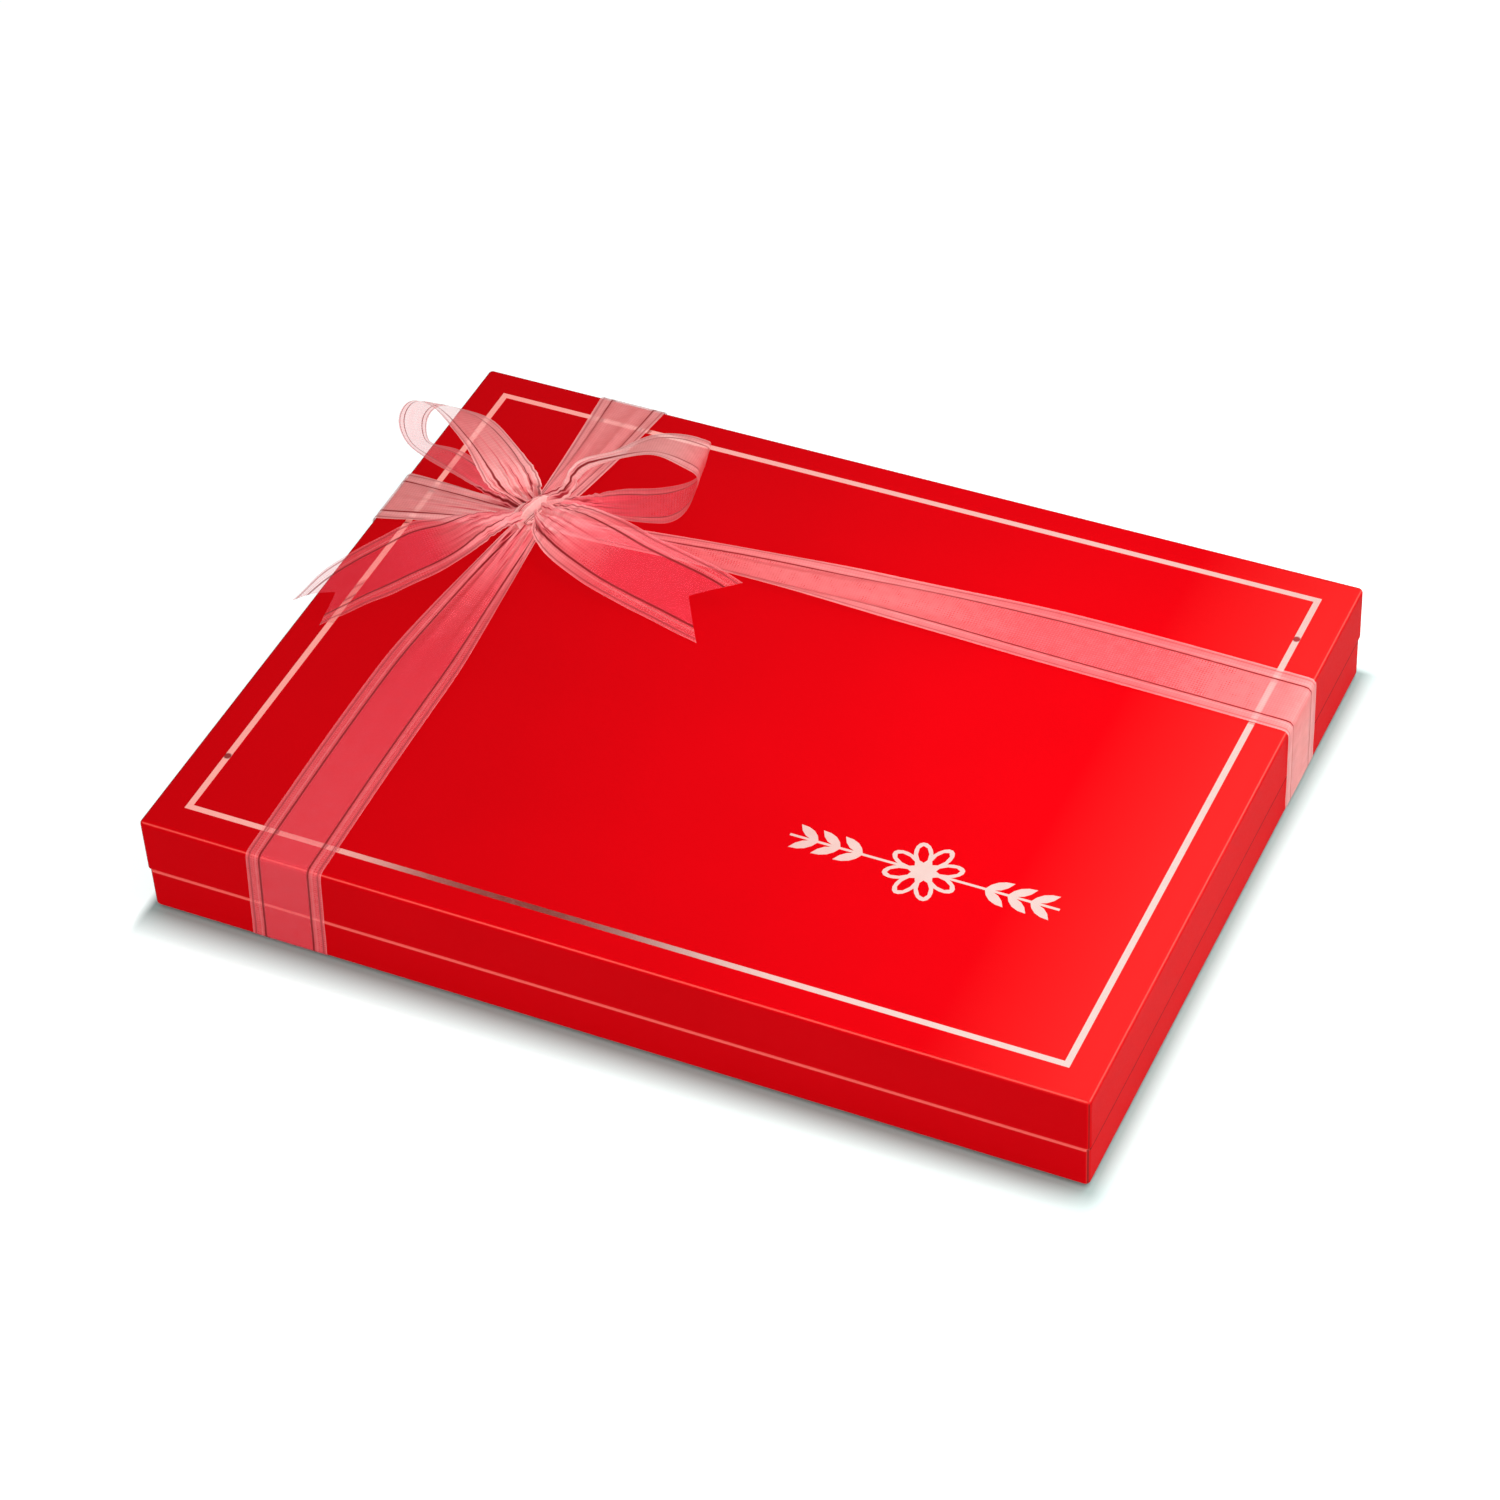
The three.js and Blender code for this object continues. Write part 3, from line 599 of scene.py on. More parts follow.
@dataclass
class Strip:
    """A length of ribbon that runs along its own +X, before it is turned and put at the knot."""

    name: str
    rows: int
    pleats: float
    phase: float
    columns: int = 64
    held: str = "gathered"
    rests_on: tuple[str, ...] = ("knot",)
    gathered: float = 8.0
    fullness: float = 0.75
    fade: float = 40.0
    creased_to: float = 26.0
    # how pale the strip is painted as a highlight, at even steps along it
    lit: tuple[float, ...] = (0.0, 0.0)

    def length(self) -> float:
        """The cloth's length."""
        raise NotImplementedError

    def spine(self, run: Array) -> tuple[Array, Array, Array, Array]:
        """The middle, left, up and width of the ribbon at each run from the knot."""
        raise NotImplementedError

    def put(self, points: Array) -> Array:
        """Turns and moves points from the strip's own frame to the box's, where they differ."""
        return points

    def reach(self, across: Array) -> Array:
        """Where each thread ends."""
        return np.full_like(across, self.length())

    def relief(self, across: Array, run: Array, width: Array) -> Array:
        """How far the cloth stands off its middle surface: the pleats that take up its width.

        Args:
            across: Share of the ribbon's width.
            run: Run of the cloth from the knot.
            width: The ribbon's width there.

        Returns:
            The height off the middle surface.
        """
        spare = np.sqrt(np.maximum(RIBBON_WIDTH ** 2 - width ** 2, 0.0))
        depth = self.fullness * spare / (4 * self.pleats) * (0.3 + 0.7 * np.exp(-run / self.fade))
        turn = 2 * math.pi * (self.pleats * across + 0.12 * np.sin(run / 19 + self.phase)) + self.phase
        fold = np.cos(turn) + 0.35 * np.cos(1.7 * turn + 1.3 + run / 31)
        fine = 0.42 * np.cos(3.1 * turn + 0.7 + run / 13) * np.exp(-run / (0.6 * self.fade))
        return depth * (fold + fine) / 1.25

    def from_knot(self, run: Array) -> Array:
        """The run to the nearer place where the cloth is held in the knot."""
        return run

    def tones(self, run: Array, width: Array) -> tuple[Array, Array]:
        """Tones of the cloth.

        Args:
            run: Run of the cloth from the knot.
            width: The ribbon's width there.

        Returns:
            How far it is drawn together and how pale it stands in the light.
        """
        near = self.from_knot(run)
        gather = np.clip((RIBBON_WIDTH / width - 1) / 2, 0, 1) * np.exp(-near / 30)
        gather = np.maximum(gather, 0.85 * np.exp(-(near / self.creased_to) ** 2))
        spots = np.linspace(0, self.length(), len(self.lit))
        return gather, np.interp(run, spots, self.lit)

    def place(self, across: Array, along: Array) -> tuple[Array, ...]:
        """Gives the sheet's points and its cloth map.

        Args:
            across: Share of the ribbon's width, from its left edge.
            along: Share of its length.

        Returns:
            Points in millimetres, cloth coordinates in ribbon widths and the two tones.
        """
        run = self.reach(across) * along
        middle, left, up, width = self.spine(run)
        off = (0.5 - across) * width
        rise = self.relief(across, run, width)
        points = middle + left * off[:, None] + up * rise[:, None]
        cloth = np.stack([across, run / RIBBON_WIDTH], axis=1)
        return self.put(points), cloth, *self.tones(run, width)

    def build(self, material: bpy.types.Material) -> None:
        """Makes the cloth sheet and puts it in place of its solid.

        Args:
            material: The ribbon's finish.
        """
        piece = new_grid(f"organza_{self.name}", self.columns, self.rows)
        shape_sheet(piece, self.place)
        piece.data.materials.append(material)
        settle(piece, "ribbon", [self.name])
        flat = (RIBBON_WIDTH * MM, self.length() * MM)


@dataclass
class Band(Strip):
    """A band from the knot over an edge of the lid and down the side of the box."""

    held: str = "stretched"
    rests_on: tuple[str, ...] = ("lid_wrap",)
    heading: float = 0.0
    far: float = 0.0
    spread: float = 70.0
    curve: float = 1.0
    edge: float = 0.0
    foot: float = 0.0
    sway: float = 0.0
    seat: float = 3.0
    start: float = 4.0

    def bend(self) -> float:
        """Radius of the ribbon's middle where it folds over the lid's edge."""
        return EDGE_RADIUS + RIBBON_RISE

    def parts(self) -> tuple[float, float, float]:
        """Lengths of the run on the lid, of the fold and of the drop."""
        flat = self.far - EDGE_RADIUS - self.start
        return flat, self.bend() * math.pi / 2, LID_HIGH - EDGE_RADIUS - BASE_LOW - EDGE_RADIUS

    def length(self) -> float:
        """The cloth's length."""
        return sum(self.parts())

    def spine(self, run: Array) -> tuple[Array, Array, Array, Array]:
        """Follows the ribbon from the knot.

        Args:
            run: Run of the cloth from the knot.

        Returns:
            The middle, the ways to the left and up, and the width.
        """
        flat, fold, drop = self.parts()
        level = np.clip(run, 0, flat)
        tilt = np.clip(run - flat, 0, fold) / self.bend()
        down = np.clip(run - flat - fold, 0, drop)
        x = self.start + level
        share = np.clip(x / self.far, 0, 1)
        y = self.edge * share + self.sway * np.sin(math.pi * share) + (self.foot - self.edge) * down / drop
        lift = self.seat * (1 - x / (self.far - EDGE_RADIUS))
        z = LID_HIGH + RIBBON_RISE + np.maximum(lift, 0) + self.bend() * (np.cos(tilt) - 1) - down
        hug = 0.4 * np.clip(down / 17, 0, 1) + 0.35 * np.clip((down - 19) / 8, 0, 1)
        middle = np.stack([x + self.bend() * np.sin(tilt) - hug, y, z], axis=1)
        left = np.zeros_like(middle)
        left[:, 1] = 1
        up = np.stack([np.sin(tilt), np.zeros_like(tilt), np.cos(tilt)], axis=1)
        open_share = x / self.spread
        grown = np.clip((1 + open_share - np.hypot(1 - open_share, 0.12)) / 2, 0, 1) ** self.curve
        return middle, left, up, self.gathered + (RIBBON_WIDTH - self.gathered) * grown

    def relief(self, across: Array, run: Array, width: Array) -> Array:
        """The pleats, which the pull over the lid's edge flattens."""
        pulled = np.clip((run - self.parts()[0] + 9) / 10, 0, 1)
        return super().relief(across, run, width) * (1 - 0.94 * pulled)

    def put(self, points: Array) -> Array:
        """Turns the band to its heading at the knot."""
        return turn_z(points, self.heading) + np.array([KNOT[0], KNOT[1], 0.0])


@dataclass
class Traced(Strip):
    """A loop or a tail of the bow, laid through stations along its length.

    Each station is the ribbon's middle and the reach from its right edge to its left one, as x,
    y and z. Where the reach is short of the ribbon's width the cloth is pleated.
    """

    stations: tuple[tuple[float, ...], ...] = ()
    notch: float = 0.0
    crown: float = 0.0
    crown_at: float = 15.0
    ripple: float = 0.25
    crinkle: float = 0.35

    def line(self) -> tuple[Array, Array]:
        """Measures the middle line.

        Returns:
            Closely spaced station numbers, and the run at each.
        """
        spots = np.linspace(0, len(self.stations) - 1, 800)
        middle = smooth_through(np.array(self.stations), spots)[:, :3]
        steps = np.linalg.norm(np.diff(middle, axis=0), axis=1)
        return spots, np.concatenate([[0.0], np.cumsum(steps)])

    def length(self) -> float:
        """The cloth's length."""
        return float(self.line()[1][-1])

    def reach(self, across: Array) -> Array:
        """Where each thread ends: a tail's middle is cut back to a notch."""
        return self.length() - self.notch * (1 - np.abs(2 * across - 1))

    def spine(self, run: Array) -> tuple[Array, Array, Array, Array]:
        """Follows the ribbon from the knot.

        Args:
            run: Run of the cloth from the knot.

        Returns:
            The middle, the ways to the left and up, and the width.
        """
        spots, runs = self.line()
        rows = np.array(self.stations)
        at = np.interp(run, runs, spots)
        here = smooth_through(rows, at)
        step = 0.02
        ahead = smooth_through(rows, np.minimum(at + step, spots[-1]))[:, :3]
        behind = smooth_through(rows, np.maximum(at - step, 0))[:, :3]
        width = np.linalg.norm(here[:, 3:], axis=1)
        left = here[:, 3:] / width[:, None]
        up = np.cross(ahead - behind, left)
        up /= np.linalg.norm(up, axis=1)[:, None]
        return here[:, :3], left, up, width

    def from_knot(self, run: Array) -> Array:
        """The run to the knot, from either end of a loop."""
        return np.minimum(run, self.length() - run) if self.notch == 0 else run

    def relief(self, across: Array, run: Array, width: Array) -> Array:
        """The pleats, the crown that the cloth keeps near the knot and its rippled edges.

        Args:
            across: Share of the ribbon's width.
            run: Run of the cloth from the knot.
            width: The ribbon's width there.

        Returns:
            The height off the middle surface.
        """
        side = np.abs(2 * across - 1)
        near = self.from_knot(run)
        crown = self.crown * (1 - side ** 2) * np.exp(-((near - self.crown_at) / 11) ** 2)
        open_part = np.clip((near - 10) / 12, 0, 1)
        wave = np.sin(run / 5.5 + self.phase) + 0.6 * np.sin(run / 2.7 + 2 * self.phase + 3 * across)
        ruffle = 0.4 * side ** 2 * np.sin(1.9 * run + 4 * across) * np.sin(0.8 * run + self.phase)
        crinkle = self.crinkle * np.sin(1.1 * run + 9 * across + self.phase) * np.sin(0.7 * run - 5 * across)
        close = np.exp(-((near - 10) / 8) ** 2)
        edges = self.ripple * open_part * side ** 2 * wave
        return super().relief(across, near, width) + crown + edges + (ruffle + crinkle) * close


@dataclass
class KnotWrap(Strip):
    """The turn of ribbon that is drawn tight round the middle of the bow."""

    rests_on: tuple[str, ...] = ("band_front",)
    fullness: float = 1.0
    depth: float = 5.4
    rise: float = 3.3
    waist: float = 5.0
    heading: float = -17.0

    def length(self) -> float:
        """The cloth's length, once round."""
        return math.pi * (self.depth + self.rise)

    def spine(self, run: Array) -> tuple[Array, Array, Array, Array]:
        """Follows the wrap round the bow.

        Args:
            run: Run of the cloth from the knot.

        Returns:
            The middle, the ways to the left and up, and the width.
        """
        angle = 2 * math.pi * run / self.length() - math.pi / 2
        y, z = self.depth * np.cos(angle), self.rise * np.sin(angle)
        skew = 0.9 * np.sin(angle + 0.6)
        middle = np.stack([skew, y, z], axis=1)
        up = np.stack([np.zeros_like(y), np.cos(angle), np.sin(angle)], axis=1)
        left = np.zeros_like(middle)
        left[:, 0] = 1
        return middle, left, up, self.waist + 0.9 * np.sin(angle) + 0.6 * np.sin(3 * angle + 1)

    def relief(self, across: Array, run: Array, width: Array) -> Array:
        """The crushed pleats, drawn in at the wrap's edges.

        Args:
            across: Share of the ribbon's width.
            run: Run of the cloth from the knot.
            width: The ribbon's width there.

        Returns:
            The height off the middle surface.
        """
        crush = 0.85 + 0.15 * np.sin(run / 2.3 + 5 * across)
        drawn_in = 1.2 * np.abs(2 * across - 1) ** 3
        crumple = 0.45 * np.abs(np.sin(run / 1.7 + 2.2 * np.sin(6 * across + run / 5)))
        return super().relief(across, np.zeros_like(run), width) * crush - drawn_in + crumple

    def tones(self, run: Array, width: Array) -> tuple[Array, Array]:
        """The wrap is drawn together all along, and takes a strong painted highlight all along."""
        return np.full_like(run, 0.75), np.full_like(run, 1.25)

    def put(self, points: Array) -> Array:
        """Turns the wrap across the bow and puts it at the knot."""
        return turn_z(points, self.heading) + KNOT


# Right loop, from the knot over the top to the tip and back underneath.
LOOP_RIGHT = (
    (-98.8, 52.8, 42.5, -4.8, 6.0, -4.7),
    (-92.3, 54.9, 47.0, -6.4, 7.6, -6.7),
    (-89.9, 57.7, 52.0, -7.5, 9.0, -7.7),
    (-86.6, 61.0, 55.5, -8.7, 12.2, -10.0),
    (-80.2, 63.8, 58.0, -9.2, 15.0, -11.4),
    (-73.6, 68.2, 59.5, -8.1, 19.5, -11.4),
    (-67.5, 72.0, 60.0, -7.3, 21.8, -9.9),
    (-60.6, 73.7, 59.5, -5.6, 22.8, -8.6),
    (-55.7, 74.7, 58.0, -5.3, 23.2, -7.6),
    (-54.0, 77.1, 54.5, -5.5, 23.4, -6.9),
    (-54.7, 77.6, 50.0, -7.1, 22.6, -7.9),
    (-55.2, 74.6, 46.5, -7.8, 22.1, -8.7),
    (-57.0, 70.1, 44.0, -9.1, 22.0, -7.5),
    (-61.6, 65.9, 42.5, -10.3, 22.0, -5.8),
    (-68.9, 62.7, 42.0, -11.0, 21.6, -6.1),
    (-77.4, 60.1, 42.0, -10.4, 18.4, -5.9),
    (-86.3, 57.3, 42.0, -6.8, 12.4, -4.9),
    (-95.4, 53.0, 41.8, -4.2, 6.8, -4.1),
)
# Left loop, likewise.
LOOP_LEFT = (
    (-102.0, 50.2, 42.5, -0.9, -8.0, 4.1),
    (-104.0, 48.6, 48.0, -4.8, -13.0, 5.7),
    (-105.2, 46.4, 54.0, -5.7, -19.0, 6.7),
    (-110.8, 48.2, 60.0, -3.0, -22.6, 10.3),
    (-118.2, 51.4, 65.0, -1.0, -22.5, 10.9),
    (-126.3, 53.7, 68.5, -0.1, -20.7, 14.1),
    (-134.5, 55.3, 69.5, 2.0, -19.0, 16.1),
    (-140.9, 55.7, 67.0, 1.8, -18.1, 17.1),
    (-143.5, 53.9, 62.0, 1.8, -18.5, 16.7),
    (-142.8, 52.5, 57.0, 2.0, -18.7, 16.4),
    (-140.8, 53.0, 53.0, 3.0, -19.9, 14.8),
    (-136.8, 54.9, 49.5, 3.5, -21.1, 13.0),
    (-130.3, 55.5, 46.5, 3.3, -21.7, 12.0),
    (-121.2, 54.1, 44.0, 2.4, -18.2, 10.2),
    (-111.1, 51.8, 42.5, 0.7, -12.2, 6.9),
    (-103.4, 50.3, 41.5, -0.1, -7.9, 4.3),
)
# Right tail, from the knot to its end.
TAIL_RIGHT = (
    (-98.1, 48.2, 42.5, -1.1, 7.5, -2.6),
    (-93.3, 43.5, 45.0, 3.5, 13.5, 1.0),
    (-84.1, 40.0, 45.5, 6.9, 18.9, 6.1),
    (-71.9, 36.8, 44.5, 8.6, 21.7, 7.8),
    (-60.7, 34.1, 43.0, 8.4, 22.0, 8.5),
    (-46.7, 31.9, 41.5, 7.2, 22.1, 9.3),
    (-35.6, 29.3, 41.0, 6.7, 22.2, 9.4),
    (-26.1, 26.7, 40.5, 6.1, 21.5, 8.8),
)
# Left tail, likewise.
TAIL_LEFT = (
    (-102.6, 44.9, 42.5, 4.2, -6.0, 3.2),
    (-107.5, 38.9, 43.5, 9.8, -7.4, 4.3),
    (-112.7, 32.6, 44.0, 14.0, -12.4, 3.2),
    (-117.3, 25.5, 43.5, 17.4, -16.3, 2.3),
    (-124.5, 18.1, 42.5, 17.3, -18.0, -1.8),
    (-131.1, 8.4, 42.0, 17.8, -17.5, -1.1),
    (-138.5, -5.9, 42.0, 18.3, -17.0, 1.6),
    (-144.2, -20.9, 42.0, 18.6, -14.8, 7.9),
)


class Ribbon:
    """The ribbon: a band over each edge, the bow and the cross under the box."""

    def strips(self) -> list[Strip]:
        """Lists the lengths of the ribbon above the table.

        Returns:
            The strips in the order they are made.
        """
        return [
            Band("band_front", 140, pleats=3.0, phase=0.4, heading=-90, far=LID_WIDTH / 2 + KNOT[1],
                 spread=70, curve=0.85, edge=-1, foot=-3.3, sway=-1.7,
                 lit=(0.6, 0.15, 0.03, 0.06, 0.1, 0.12, 0.12)),
            Band("band_back", 90, pleats=3.0, phase=2.1, heading=90, far=LID_WIDTH / 2 - KNOT[1],
                 spread=76, curve=0.85, edge=-2.5, foot=-3, sway=-1, lit=(0.6, 0.6, 0.75, 0.85, 0.7)),
            Band("band_left", 80, pleats=4.0, phase=1.2, heading=180, far=LID_LENGTH / 2 + KNOT[0],
                 spread=50, curve=1, edge=2.5, foot=3, sway=-0.5, lit=(0.85, 0.85, 0.85, 0.8, 0.7)),
            Band("band_right", 180, pleats=2.0, phase=0.9, heading=0, far=LID_LENGTH / 2 - KNOT[0],
                 spread=165, curve=1.3, edge=9.5, foot=12, sway=4,
                 lit=(0.6, 0.3, 0.5, 0.5, 0.3, 0.3, 0.6, 1.5)),
            Traced("loop_right", 170, pleats=2.5, phase=0.3, stations=LOOP_RIGHT, crown=0.8,
                   lit=(0.9, 0.9, 1.0, 1.1, 1.1, 0.6, 0.1, 0.05, 0.05, 0.15, 0.6)),
            Traced("loop_left", 160, pleats=2.5, phase=1.9, stations=LOOP_LEFT, crown=1.2,
                   lit=(0.8, 1.0, 0.75, 0.65, 0.5, 0.4, 0.2, 0.1, 0.1, 0.2, 0.6)),
            Traced("tail_right", 120, pleats=2.5, phase=0.8, stations=TAIL_RIGHT, notch=12.5,
                   crown=2.8, crinkle=0.5, lit=(0.7, 0.6, 0.2, 0.0, 0.0, 0.0, 0.0)),
            Traced("tail_left", 120, pleats=3.0, phase=2.6, stations=TAIL_LEFT, notch=12.5,
                   crown=0.8, lit=(0.7, 0.4, 0.0, -0.5, -0.5, 0.0)),
            KnotWrap("knot", 120, pleats=2.7, phase=0.5),
        ]

    def underside(self, material: bpy.types.Material) -> None:
        """Lays the two runs that cross under the base.

        Args:
            material: The ribbon's finish.
        """
        end_x, end_y = (size / 2 - LID_OVERHANG - EDGE_RADIUS for size in (LID_LENGTH, LID_WIDTH))
        runs = (
            (np.array([-103.3, -end_y]), np.array([-97.0, end_y]), np.array([1.0, 0.0]), 0.1),
            (np.array([-end_x, 44.5]), np.array([end_x, 59.5]), np.array([0.0, -1.0]), 0.2),
        )
        halves = []
        for first, last, right, height in runs:
            size = float(np.linalg.norm(last - first))
            bend = BASE_LOW + EDGE_RADIUS - height
            turn = bend * math.pi / 2

            def place(across: Array, along: Array) -> tuple[Array, ...]:
                """Lays one run flat under the base, with its ends turned up round the base's edges.

                Args:
                    across: Share of the ribbon's width.
                    along: Share of its length.

                Returns:
                    Points in millimetres, cloth coordinates in ribbon widths and the two tones.
                """
                run = np.interp(along, (0.0, 0.15, 0.85, 1.0), (-turn, 0.0, size, size + turn))
                tilt = (np.maximum(run - size, 0) + np.minimum(run, 0)) / bend
                reach = np.clip(run, 0, size) + bend * np.sin(tilt)
                aside = right * ((across - 0.5) * RIBBON_WIDTH)[:, None]
                plan = first + (last - first) / size * reach[:, None] + aside
                points = np.column_stack([plan, height + bend * (1 - np.cos(tilt))])
                bare = np.zeros(len(plan))
                return points, np.stack([across, run / RIBBON_WIDTH], axis=1), bare, bare

            half = new_grid(f"organza_run_{len(halves)}", columns=16, rows=60)
            shape_sheet(half, place)
            halves.append(half)
        cross = join(halves)
        cross.name = "organza_underside"
        cross.data.materials.append(material)
        settle(cross, "base", ["ribbon_underside"])

    def build(self) -> None:
        """Makes every length of the ribbon."""
        organza = Organza("organza").make()
        for strip in self.strips():
            strip.build(organza)
        self.underside(organza)


@dataclass
class Cushion:
    """A pad of embossed paper: soft diamonds parted by pressed lines, crimped thin at its edge."""

    name: str
    node: str
    body: str
    thickness: float
    dent: float
    pitch: float
    fill: float = 0.3
    spacing: float = 2.4

    def build(self, material: bpy.types.Material) -> None:
        """Makes the pad in the space of its solid.

        Args:
            material: The paper's finish.
        """
        low, high = (np.array(corner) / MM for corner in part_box(self.node))
        length, width = high[0] - low[0], high[1] - low[1]
        pad = new_grid(self.name, round(length / self.spacing), round(width / self.spacing))
        with editing():
            bpy.ops.mesh.select_all(action="SELECT")
            bpy.ops.mesh.extrude_region_move(TRANSFORM_OT_translate={"value": (0.0, 0.0, -1.0)})
        points = coordinates(pad.data)
        is_low = points[:, 2] < -0.5
        x, y = points[:, 0] * length, points[:, 1] * width
        quilt = np.abs(np.sin(math.pi * (x + y) / self.pitch) * np.sin(math.pi * (x - y) / self.pitch)) ** 0.5
        inset = np.minimum(length / 2 - np.abs(x), width / 2 - np.abs(y))
        crimp = np.clip(inset / 5.0, 0, 1) ** 0.6
        half = self.thickness / 2
        rise = half * (0.12 + 0.88 * crimp) - self.dent * (1 - quilt) * crimp
        middle = low[2] + half
        points[:, 0], points[:, 1] = x, y
        points[:, 2] = np.where(is_low, middle - rise, middle + rise)
        pad.data.vertices.foreach_set("co", (points * MM).ravel())
        pad.data.update()
        with editing():
            bpy.ops.mesh.select_all(action="SELECT")
            bpy.ops.mesh.normals_make_consistent(inside=False)
        bpy.ops.object.shade_smooth()
        pad.data.materials.append(material)
        settle(pad, self.body, [self.node])


class Mould(Enum):
    """The three praline moulds: plan length and width, and the chocolates of body and thread."""

    SQUARE = (34.0, 34.0, Chocolate.MILK, Chocolate.WHITE)
    ROUND = (35.0, 35.0, Chocolate.DARK, Chocolate.MILK)
    BAR = (38.0, 25.0, Chocolate.WHITE, Chocolate.DARK)


@dataclass
class Pralines:
    """The filling: moulded pralines with piped threads, one in each cell of the card grid."""

    columns: int = 6
    rows: int = 5
    height: float = 19.0
    foot: float = 5.9
    length: float = 289.4
    width: float = 219.4
    crown_rise: float = 0.7
    panel_drop: float = 0.95
    thread_radius: float = 0.75

    def select_top(self, mesh: bpy.types.Mesh) -> None:
        """Selects the faces that look up, from object mode.

        Args:
            mesh: The mesh.
        """
        for part in (mesh.vertices, mesh.edges):
            part.foreach_set("select", [False] * len(part))
        mesh.polygons.foreach_set("select", [face.normal.z > 0.9 for face in mesh.polygons])

    def block(self, mould: Mould, corner: float, taper: float, crown: float) -> bpy.types.Object:
        """Moulds a block that leans in, with rounded corners and crown and a pressed panel on top.

        Args:
            mould: The mould.
            corner: Radius of the upright corners.
            taper: How far the sides lean in.
            crown: How far the top rounds over.

        Returns:
            The block, standing at the origin.
        """
        length, width = mould.value[:2]
        bpy.ops.mesh.primitive_cube_add(size=1.0, location=(0.0, 0.0, self.height * MM / 2))
        piece = bpy.context.active_object
        piece.scale = (length * MM, width * MM, (self.height - self.crown_rise) * MM)
        bpy.ops.object.transform_apply()
        mesh = piece.data
        with editing():
            bpy.ops.mesh.select_mode(type="EDGE")
            bpy.ops.mesh.select_all(action="DESELECT")
        for edge in mesh.edges:
            a, b = (mesh.vertices[i].co for i in edge.vertices)
            edge.select = abs(a.z - b.z) > 1 * MM
        with editing():
            bpy.ops.mesh.bevel(offset=corner * MM, segments=6)
            bpy.ops.mesh.select_mode(type="FACE")
        self.select_top(mesh)
        with editing():
            bpy.ops.transform.resize(value=(1 - 2 * taper / length, 1 - 2 * taper / width, 1.0))
            for thickness, depth in ((crown, self.crown_rise), (2.2, 0.0), (0.8, -0.9)):
                bpy.ops.mesh.inset(thickness=thickness * MM, depth=depth * MM)
        soften = piece.modifiers.new("soften", "BEVEL")
        soften.width = 1.1 * MM
        soften.segments = 4
        soften.limit_method = "ANGLE"
        soften.angle_limit = math.radians(24)
        bpy.ops.object.modifier_apply(modifier=soften.name)
        bpy.ops.object.shade_smooth_by_angle(angle=math.radians(50))
        return piece

    def dome(self) -> bpy.types.Object:
        """Moulds the round praline: a fluted wall under a dome with a button on top.

        Returns:
            The praline's body, standing at the origin.
        """
        radius, top = Mould.ROUND.value[0] / 2, 1.0
        profile = ((7.0, -0.9), (10.0, -1.2), (13.0, -2.8), (15.6, -5.6), (17.1, -9.0), (17.5, -12.4))
        bpy.ops.mesh.primitive_cylinder_add(
            vertices=72, radius=radius * MM, depth=top * MM, location=(0.0, 0.0, top / 2 * MM),
        )
        piece = bpy.context.active_object
        bpy.ops.object.transform_apply()
        mesh = piece.data
        steps, wide = [], radius
        for height, inset in profile:
            steps.append((height - top, (radius + inset) / wide))
            top, wide = height, radius + inset
        for rise, share in (*steps, (1.1, 0.78)):
            self.select_top(mesh)
            with editing():
                bpy.ops.mesh.extrude_region_move(TRANSFORM_OT_translate={"value": (0.0, 0.0, rise * MM)})
                bpy.ops.transform.resize(value=(share, share, 1.0))
        with editing():
            bpy.ops.mesh.inset(thickness=1.2 * MM, depth=0.35 * MM)
        points = coordinates(mesh)
        angle = np.arctan2(points[:, 1], points[:, 0])
        flute = 1 - 0.022 * (0.5 - 0.5 * np.cos(18 * angle)) * np.clip((16.5 - points[:, 2] / MM) / 8, 0, 1)
        points[:, :2] *= flute[:, None]
        mesh.vertices.foreach_set("co", points.ravel())
        mesh.update()
        bpy.ops.object.shade_smooth_by_angle(angle=math.radians(45))
        return piece

    def thread(self, points: Array) -> bpy.types.Object:
        """Pipes a round thread of chocolate along points.

        Args:
            points: The thread's path.

        Returns:
            The thread as a mesh.
        """
        bpy.ops.object.select_all(action="DESELECT")
        curve = bpy.data.curves.new("thread", "CURVE")
        curve.dimensions = "3D"
        curve.bevel_depth = self.thread_radius * MM
        curve.bevel_resolution = 2
        curve.use_fill_caps = True
        spline = curve.splines.new("POLY")
        spline.points.add(len(points) - 1)
        for spot, point in zip(spline.points, points * MM):
            spot.co = (*point, 1.0)
        piece = bpy.data.objects.new("thread", curve)
        bpy.context.scene.collection.objects.link(piece)
        piece.select_set(True)
        bpy.context.view_layer.objects.active = piece
        bpy.ops.object.convert(target="MESH")
        bpy.ops.object.shade_smooth()
        return bpy.context.active_object

    def zigzag(self, length: float, width: float, turns: int) -> Array:
        """A slanting to-and-fro path over a praline's top.

        Args:
            length: Its reach along X.
            width: Its reach along Y.
            turns: How often it crosses.

        Returns:
            The path's points.
        """
        share = np.linspace(0, 1, turns * 12 + 1)
        swing = np.arcsin(0.985 * np.sin(math.pi * turns * share)) / (math.pi / 2)
        height = np.full_like(share, self.height - self.panel_drop)
        return np.column_stack([(share - 0.5) * length, swing * width / 2, height])

